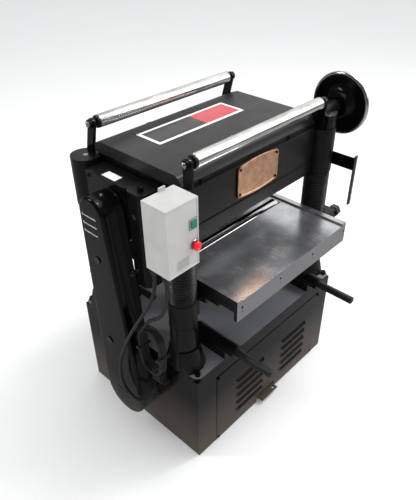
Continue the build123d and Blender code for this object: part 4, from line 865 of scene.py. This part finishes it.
class PLANER_OT_belt_guard(Undoable, bpy.types.Operator):
    """Adds the belt guard, with a wide rounded rim, upper slots whose walls carry a painted white highlight,
    and two thumb screws
    """

    bl_idname = "planer.belt_guard"
    bl_label = "Belt guard"

    def execute(self, context):
        deep, screw_r, screw_head = 0.05, 0.0125, 0.0034
        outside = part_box("belt_guard")[0].x

        def rim(edge):
            reach = [max(v.co.x for v in face.verts) - min(v.co.x for v in face.verts)
                     for face in edge.link_faces]
            return max(reach) > deep and max(abs(v.co.x - outside) for v in edge.verts) < MERGE

        shape = rounded(copied("belt_guard"), sizes().guard_edge, segments=5, chosen=rim)

        def painted_slot_highlight(face, at):
            """Whether a face is in the walls of the upper slots, which are painted white as a painted
            highlight.
            """
            return (face.calc_area() < 2e-4 and abs(face.normal.x) < 0.97 and at.x < outside + 0.002
                    and 0 < at.y < 0.0585 and 0.81 < at.z < 0.872)

        # painted highlight: the walls of the upper slots are finished white so that the slots read as bright
        # strokes
        softened("belt_guard", ["stoved_enamel", "plate_white"], sizes().machined_edge * 0.9,
                 tests=[painted_slot_highlight], shape=shape)
        thumbs = [rod((outside - 0.0002, y, z), (outside - screw_head, y, z), screw_r, sides=28, edge=0.0005)
                  for y, z in GUARD_SCREWS]
        piece("guard_thumb_screws", joined(*thumbs), "frame", ["phenolic"])
        return {"FINISHED"}


# ---- operators: switch box and controls -----------------------------------------------------------
class PLANER_OT_switch_box(Undoable, bpy.types.Operator):
    """Adds the white switch box with its lid seam, blank label, buttons and black bracket"""

    bl_idname = "planer.switch_box"
    bl_label = "Switch box and buttons"

    def execute(self, context):
        low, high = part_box("switch_box")
        self.box(low, high)
        self.label(low)
        self.start_button(low)
        self.stop_button(low)
        return {"FINISHED"}

    def box(self, low, high):
        """The box, with a groove round its lid; the bracket behind it is black."""
        border, groove, sunk = 0.005, 0.001, 0.0015
        box_rear = low.y + BOX_DEPTH
        shape = rounded(copied("switch_box"), 0.003, segments=3)
        lid = [f for f in shape.faces if f.normal.y < -0.99 and f.calc_center_median().y < low.y + MERGE]
        bmesh.ops.inset_region(shape, faces=lid, thickness=border, depth=0)
        bmesh.ops.inset_region(shape, faces=lid, thickness=groove, depth=-sunk)
        painted_where(shape, 1, lambda face, at: at.y > box_rear + 0.001 and at.z < high.z - 0.02)
        piece("switch_box_finished", shape, "frame", ["box_enamel", "stoved_enamel"], ["switch_box"])

    def label(self, low):
        corner = Vector((low.x + 0.030, low.y + 0.0009, low.z + 0.012))
        size = Vector((0.038, 0.0009, 0.026))
        piece("switch_box_label", cuboid(corner, corner + size), "frame", ["label_grey"])

    def start_button(self, low):
        """The square start button in its bezel, whose face is sunk inside its rim."""
        cap_low, cap_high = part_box("start_button")
        face_y, depth, beyond, rim, sunk = low.y + 0.0016, 0.002, 0.0012, 0.0025, 0.0012
        bezel = cuboid((cap_low.x - beyond, face_y - depth, cap_low.z - beyond),
                       (cap_high.x + beyond, face_y, cap_high.z + beyond), 0.0006)
        front = [f for f in bezel.faces if f.normal.y < -0.99]
        bmesh.ops.inset_region(bezel, faces=front, thickness=rim, depth=-sunk)
        piece("start_bezel", bezel, "frame", ["black_nylon"])
        softened("start_button", ["green_cap"], 0.0012)

    def stop_button(self, low):
        """The mushroom stop button and the ring round its stem."""
        stop = middle("stop_button")
        face_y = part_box("stop_button")[0].y
        cap = [(0.0, 0.0), (0.0004, 0.006), (0.0016, 0.0098), (0.0038, 0.0118), (0.0072, 0.012),
               (0.0095, 0.0112), (0.0102, 0.008), (0.0225, 0.008), (0.0225, 0.0)]
        piece("stop_button_finished", spun(cap, (stop.x, face_y, stop.z), (0, 1, 0), steps=48),
              "stop_body", ["red_cap"], ["stop_button"])
        ring = [(0.0, 0.0086), (0.0, 0.0135), (0.0015, 0.0145), (0.0030, 0.0145), (0.0030, 0.0086)]
        piece("stop_bezel", spun(ring, (stop.x, low.y - 0.0028, stop.z), (0, 1, 0), steps=48), "frame",
              ["zinc_steel"])


class PLANER_OT_handwheel(Undoable, bpy.types.Operator):
    """Adds the handwheel: a glossy dish, a chromed rim, and the crank handle"""

    bl_idname = "planer.handwheel"
    bl_label = "Handwheel and crank"

    def execute(self, context):
        node_low, node_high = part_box("handwheel")
        centre = Vector((0, middle("leadscrew_front_right").y, (node_low.z + node_high.z) / 2))
        radius = (node_high.z - node_low.z) / 2
        pin_low, pin_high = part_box("crank_handle")
        pin = (pin_low + pin_high) / 2
        plane = pin_low.x - CRANK_BOSS
        hub_end = (plane - 0.018, centre.y, centre.z)

        dish = [(-0.020, 0.0), (-0.0205, 0.030), (-0.019, 0.0345), (-0.010, 0.038), (-0.004, 0.045),
                (-0.0005, 0.053), (0.0005, 0.060), (-0.0005, 0.070), (-0.003, 0.080), (-0.006, 0.090),
                (-0.0045, 0.0945), (0.006, 0.0945), (0.0055, 0.086), (0.008, 0.074), (0.010, 0.060),
                (0.008, 0.050), (0.003, 0.042), (0.001, 0.036), (0.006, 0.026), (0.010, 0.020), (0.010, 0.0)]
        sleeve_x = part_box("elevation_housing")[1].x + SKIN
        sleeve = rod((sleeve_x, centre.y, centre.z), hub_end, 0.020, edge=0.0015)
        boss = rod((plane - 0.001, pin.y, pin.z), (pin_low.x - SKIN, pin.y, pin.z), 0.012, edge=0.0015)
        shape = joined(spun(dish, (plane, centre.y, centre.z), (1, 0, 0), steps=96), sleeve, boss)
        piece("handwheel_dish", shape, "handwheel_body", ["stoved_enamel"], ["handwheel"])

        rim_r, middle_r, sides = 0.0072, radius - 0.0075, 20
        ring = [(rim_r * math.cos(a), middle_r + rim_r * math.sin(a)) for a in
                (FULL_TURN * i / sides for i in range(sides))]
        piece("handwheel_rim", spun(ring, (plane + 0.0015, centre.y, centre.z), (1, 0, 0), steps=120),
              "handwheel_body", ["chrome_plate_wheel"], crease=60)

        hub_r, pin_r = 0.0079, 0.0049
        shaft = joined(rod((node_low.x, centre.y, centre.z), hub_end, hub_r),
                       rod((plane, pin.y, pin.z), (pin_high.x + SKIN, pin.y, pin.z), pin_r),
                       spun(DOME_NUT, (pin_high.x + 0.0004, pin.y, pin.z), (1, 0, 0), steps=32))
        piece("handwheel_shaft", shaft, "handwheel_body", ["zinc_steel"])

        length, grip_r, bore = pin_high.x - pin_low.x, (pin_high.y - pin_low.y) / 2, 0.0052
        swell = ((0.2, 0.86), (0.45, 0.99), (0.62, 1), (0.8, 0.95), (0.92, 0.82), (0.98, 0.62), (1, 0.5))
        grip = [(0, bore), (0, grip_r * 0.62), (0.002, grip_r * 0.7),
                *((length * along, grip_r * share) for along, share in swell), (length, bore)]
        shape = spun(grip, (pin_low.x, pin.y, pin.z), (1, 0, 0), steps=48)
        piece("crank_handle_finished", shape, "crank_body", ["phenolic"], ["crank_handle"])
        return {"FINISHED"}


class PLANER_OT_controls(Undoable, bpy.types.Operator):
    """Adds the lock knobs, lift bars, depth scale, foot pedal and its caster wheel"""

    bl_idname = "planer.controls"
    bl_label = "Knobs, bars, scale and pedal"

    def execute(self, context):
        for end in ("front", "rear"):
            softened("lock_knob_" + end, ["phenolic"], 0.0018)
        for corner in CORNERS:
            softened("lift_bar_" + corner, ["bar_paint"], 0.003)
        for node in ("depth_scale", "foot_pedal"):
            softened(node, ["stoved_enamel"], sizes().machined_edge * 0.5)
        softened("caster_wheel", ["black_nylon"], 0.002)
        self.scale()
        return {"FINISHED"}

    def scale(self):
        """The black strip on the depth scale, with white marks of which every fifth is longer."""
        low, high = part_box("depth_scale")
        front, right = low.y, high.x - 0.0005
        strip_width, strip_end = 0.011, 0.004
        strip = cuboid((right - strip_width, front - 0.0004, low.z + strip_end),
                       (right, front + 0.0002, high.z - strip_end))
        piece("scale_strip", strip, "frame", ["plate_black"])
        pitch, long_every, ends, line = 0.005, 5, 0.006, 0.0009
        marks = []
        for i in range(int((high.z - low.z - 2 * ends) / pitch)):
            reach = 0.006 if i % long_every == 0 else 0.0035
            z = low.z + ends + i * pitch
            marks.append(cuboid((right - reach, front - 0.0007, z), (right, front - 0.0003, z + line)))
        piece("scale_marks", joined(*marks), "frame", ["plate_white"])


class PLANER_OT_fasteners(Undoable, bpy.types.Operator):
    """Adds the screws and bolts, each with a socket sunk in its head"""

    bl_idname = "planer.fasteners"
    bl_label = "Fasteners"

    def execute(self, context):
        wall, draft, socket = 0.0018, 0.0002, 0.0012
        shape = rounded(copied("fasteners"), 0.0006, segments=2)
        heads = [f for f in shape.faces if len(f.verts) > 10]
        bmesh.ops.inset_individual(shape, faces=heads, thickness=wall, depth=0)
        bmesh.ops.inset_individual(shape, faces=heads, thickness=draft, depth=-socket)
        piece("fasteners_finished", shape, "frame", ["blacked_steel"], ["fasteners"])
        return {"FINISHED"}


# ---- operators: cables ------------------------------------------------------------------------------
# the routes of both cables, in millimetres, as the CAD model's tubes have them
MOTOR_LEAD = [(-452, -229, 807), (-452, -229, 768), (-455, -214, 715), (-459, -182, 655), (-462, -145, 592),
              (-465, -108, 525), (-467, -76, 455), (-469, -52, 390), (-469, -40, 328), (-469, -48, 275),
              (-466, -80, 243), (-457, -114, 232), (-446, -133, 243), (-432, -141, 264), (-412, -142, 277),
              (-386, -142, 277)]
SUPPLY_CORD = [(-452, -272, 807), (-452, -272, 768), (-450, -262, 718), (-445, -236, 668), (-438, -199, 628),
               (-434, -167, 602), (-432, -150, 574)]


def cord_curve(name, points, diameter):
    """A cable as one smooth curve that its points pull on."""
    curve = bpy.data.curves.new(name, "CURVE")
    curve.dimensions = "3D"
    spline = curve.splines.new("NURBS")
    spline.points.add(len(points) - 1)
    for slot_point, point in zip(spline.points, points):
        slot_point.co = (*point, 1)
    spline.order_u = 3
    spline.use_endpoint_u = True
    spline.resolution_u = 6
    curve.bevel_depth = diameter / 2
    curve.bevel_resolution = 5
    curve.use_fill_caps = True
    curve.materials.append(finish("cable_sheath"))
    made = bpy.data.objects.new(name, curve)
    bpy.context.scene.collection.objects.link(made)
    return made


def metres(points):
    return [Vector(point) * 0.001 for point in points]


class PLANER_OT_cables(Undoable, bpy.types.Operator):
    """Adds the glands, the motor lead, and the supply cord with its tied hank and plug"""

    bl_idname = "planer.cables"
    bl_label = "Cables"

    def execute(self, context):
        softened("cord_glands", ["black_nylon"], 0.0008)
        self.motor_lead()
        self.supply_cord()
        return {"FINISHED"}

    def motor_lead(self):
        lead = cord_curve("motor_lead_sheath", metres(MOTOR_LEAD), sizes().cable_diameter)
        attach(lead, "frame")
        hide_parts("motor_lead")

    def supply_cord(self):
        """The cord from its gland down to the hank, round the hank's turns and into the plug."""
        diameter = sizes().cable_diameter
        low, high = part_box("supply_coil")
        plug_low, plug_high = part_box("supply_plug")
        top = plug_high.z
        middle_y, centre_z = (low.y + high.y) / 2, (low.z + high.z) / 2
        radius = (high.y - low.y - diameter) / 2
        straight = (high.z - low.z) / 2 - (high.y - low.y) / 2
        unevenness, waves, steps = 0.0014, 2.3, 16
        points = metres(SUPPLY_CORD)
        first_x, last_x = points[-1].x, (plug_low.x + plug_high.x) / 2
        count = round(sizes().hank_turns * steps)
        for i in range(2, count + 1):
            angle = FULL_TURN * i / steps
            loose = radius + unevenness * math.sin(waves * angle)
            z = centre_z + math.copysign(straight, math.cos(angle) + 1e-9) + loose * math.cos(angle)
            if i % (steps // 2) == steps // 4:
                z = centre_z
            x = first_x + (last_x - first_x) * i / count
            points.append(Vector((x, middle_y + loose * math.sin(angle), z)))
        points[-1] = Vector((last_x, middle_y, top + 0.006))
        points.append(Vector((last_x, middle_y, top - 0.004)))
        cord = cord_curve("supply_cord_sheath", points, diameter)
        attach(cord, "frame")
        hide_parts("supply_cord", "supply_coil")
        pins_below = top - 0.0465
        plug = softened("supply_plug", ["black_nylon", "zinc_steel"], 0.0012,
                        tests=[lambda face, at: at.z < pins_below])
        tie = self.tie(low, high)

    def tie(self, low, high):
        """Two nylon straps, each round one side of the hank."""
        band, wall, width, squeeze = 0.012, 0.0012, 0.008, 0.002
        centre_z = (low.z + high.z) / 2
        straps = [cuboid((low.x - wall + squeeze, y - band / 2 - wall, centre_z - width / 2),
                         (high.x + wall - squeeze, y + band / 2 + wall, centre_z + width / 2), 0.0008)
                  for y in (low.y + band / 2 - 0.001, high.y - band / 2 + 0.001)]
        return piece("hank_ties", joined(*straps), "frame", ["black_nylon"])


# ---- operator: stage ----------------------------------------------------------------------------------
class PLANER_OT_stage(Undoable, bpy.types.Operator):
    """Adds the pale floor, the soft studio light and the camera"""

    bl_idname = "planer.stage"
    bl_label = "Floor, light and camera"

    def execute(self, context):
        self.floor(context)
        self.world(context)
        self.lamps(context)
        self.camera(context)
        return {"FINISHED"}

    def floor(self, context):
        shape = bmesh.new()
        bmesh.ops.create_grid(shape, x_segments=1, y_segments=1, size=sizes().floor_size / 2)
        mesh = bpy.data.meshes.new("floor")
        shape.to_mesh(mesh)
        shape.free()
        mesh.materials.append(finish("floor_paint"))
        made = bpy.data.objects.new("floor", mesh)
        context.scene.collection.objects.link(made)

    def world(self, context):
        """White where it is seen; in the mirror it is bright high on the right, and dim elsewhere."""
        world = bpy.data.worlds.new("studio")
        world.use_nodes = True
        context.scene.world = world
        tree = world.node_tree
        tree.nodes.clear()
        path = add(tree, "ShaderNodeLightPath")
        way = add(tree, "ShaderNodeTexCoord").outputs["Generated"]
        to_light = (0.8, 0.2, 0.56)
        bright = add(tree, "ShaderNodeVectorMath", {0: way, 1: to_light}, operation="DOT_PRODUCT")
        strength = spread(tree, bright.outputs["Value"], 0.12, 1.5, 0.5, 1.0)
        mirrored = add(tree, "ShaderNodeBackground", {"Strength": strength})
        fill = add(tree, "ShaderNodeBackground", {"Color": linear("#f5f6f8"), "Strength": 0.92})
        white = add(tree, "ShaderNodeBackground", {"Color": (1, 1, 1, 1), "Strength": 1.0})
        lit = add(tree, "ShaderNodeMixShader", {0: path.outputs["Is Glossy Ray"], 1: fill.outputs[0],
                                                2: mirrored.outputs[0]})
        both = add(tree, "ShaderNodeMixShader", {0: path.outputs["Is Camera Ray"], 1: lit.outputs[0],
                                                 2: white.outputs[0]})
        add(tree, "ShaderNodeOutputWorld", {"Surface": both.outputs[0]})

    def lamps(self, context):
        """Soft boxes overhead and on the right, and two narrow ones that draw bright lines on the gloss."""
        aim = Vector((0, 0, 0.7))
        # name, place, width and height in metres, and power in watts
        for name, place, width, height, power in (
                ("top_box", (0.6, -0.6, 3.8), 2.4, 2.4, 25),
                ("right_box", (3.0, -2.4, 2.4), 2.0, 2.0, 30),
                ("front_strip", (1.9, -0.9, 3.9), 0.6, 2.2, 75),
                ("rear_strip", (-2.3, 2.1, 3.1), 0.3, 1.6, 32)):
            lamp = bpy.data.lights.new(name, "AREA")
            lamp.shape = "RECTANGLE"
            lamp.size, lamp.size_y = width, height
            lamp.energy = power
            made = bpy.data.objects.new(name, lamp)
            made.location = place
            made.rotation_euler = (Vector(place) - aim).to_track_quat("Z", "Y").to_euler()
            context.scene.collection.objects.link(made)

    def camera(self, context):
        """A camera high over the front left corner, looking across the machine and down."""
        heading, pitch, roll = math.radians(42.2), math.radians(35.7), math.radians(0.24)
        focal_share = 529 / 500          # the focal length as a share of the sensor's longer side
        camera = bpy.data.cameras.new("camera")
        camera.sensor_width = 36
        camera.lens = camera.sensor_width * focal_share
        camera.shift_x, camera.shift_y = -0.0195, 0.0102
        camera.clip_start, camera.clip_end = 0.05, 100
        made = bpy.data.objects.new("camera", camera)
        made.location = (-1.1138, -1.0410, 1.6117)
        made.rotation_euler = (Matrix.Rotation(heading - math.pi / 2, 3, "Z")
                               @ Matrix.Rotation(math.pi / 2 - pitch, 3, "X")
                               @ Matrix.Rotation(roll, 3, "Z")).to_euler()
        context.scene.collection.objects.link(made)
        context.scene.camera = made
        context.scene.view_settings.view_transform = "Standard"


# ---- panel and registration ------------------------------------------------------------------------
PIECES = (
    PLANER_OT_cables, PLANER_OT_base_casting, PLANER_OT_cabinet, PLANER_OT_columns, PLANER_OT_table,
    PLANER_OT_bellows, PLANER_OT_head, PLANER_OT_cutting, PLANER_OT_drive, PLANER_OT_top_cover,
    PLANER_OT_name_plate, PLANER_OT_badge, PLANER_OT_return_rollers, PLANER_OT_side_cover,
    PLANER_OT_belt_guard,
    PLANER_OT_switch_box, PLANER_OT_handwheel, PLANER_OT_controls, PLANER_OT_fasteners, PLANER_OT_stage,
)


class PLANER_PT_pieces(bpy.types.Panel):
    """Lists the planer's pieces, sizes and colours"""

    bl_idname = "PLANER_PT_pieces"
    bl_label = "Thickness Planer"
    bl_space_type = "VIEW_3D"
    bl_region_type = "UI"
    bl_category = "Planer"

    def draw(self, context):
        for group in (context.scene.planer_sizes, context.scene.planer_colours):
            for name in group.bl_rna.properties.keys():
                if name not in ("rna_type", "name"):
                    self.layout.prop(group, name)
        for operator in PIECES:
            self.layout.operator(operator.bl_idname)


CLASSES = (PlanerSizes, PlanerColours, *PIECES, PLANER_PT_pieces)


def register():
    for made in CLASSES:
        bpy.utils.register_class(made)
    bpy.types.Scene.planer_sizes = PointerProperty(type=PlanerSizes)
    bpy.types.Scene.planer_colours = PointerProperty(type=PlanerColours)


def unregister():
    del bpy.types.Scene.planer_sizes
    del bpy.types.Scene.planer_colours
    for made in reversed(CLASSES):
        bpy.utils.unregister_class(made)


def main():
    register()
    for operator in PIECES:
        group, name = operator.bl_idname.split(".")
        getattr(getattr(bpy.ops, group), name)()


if __name__ == "__main__":
    main()
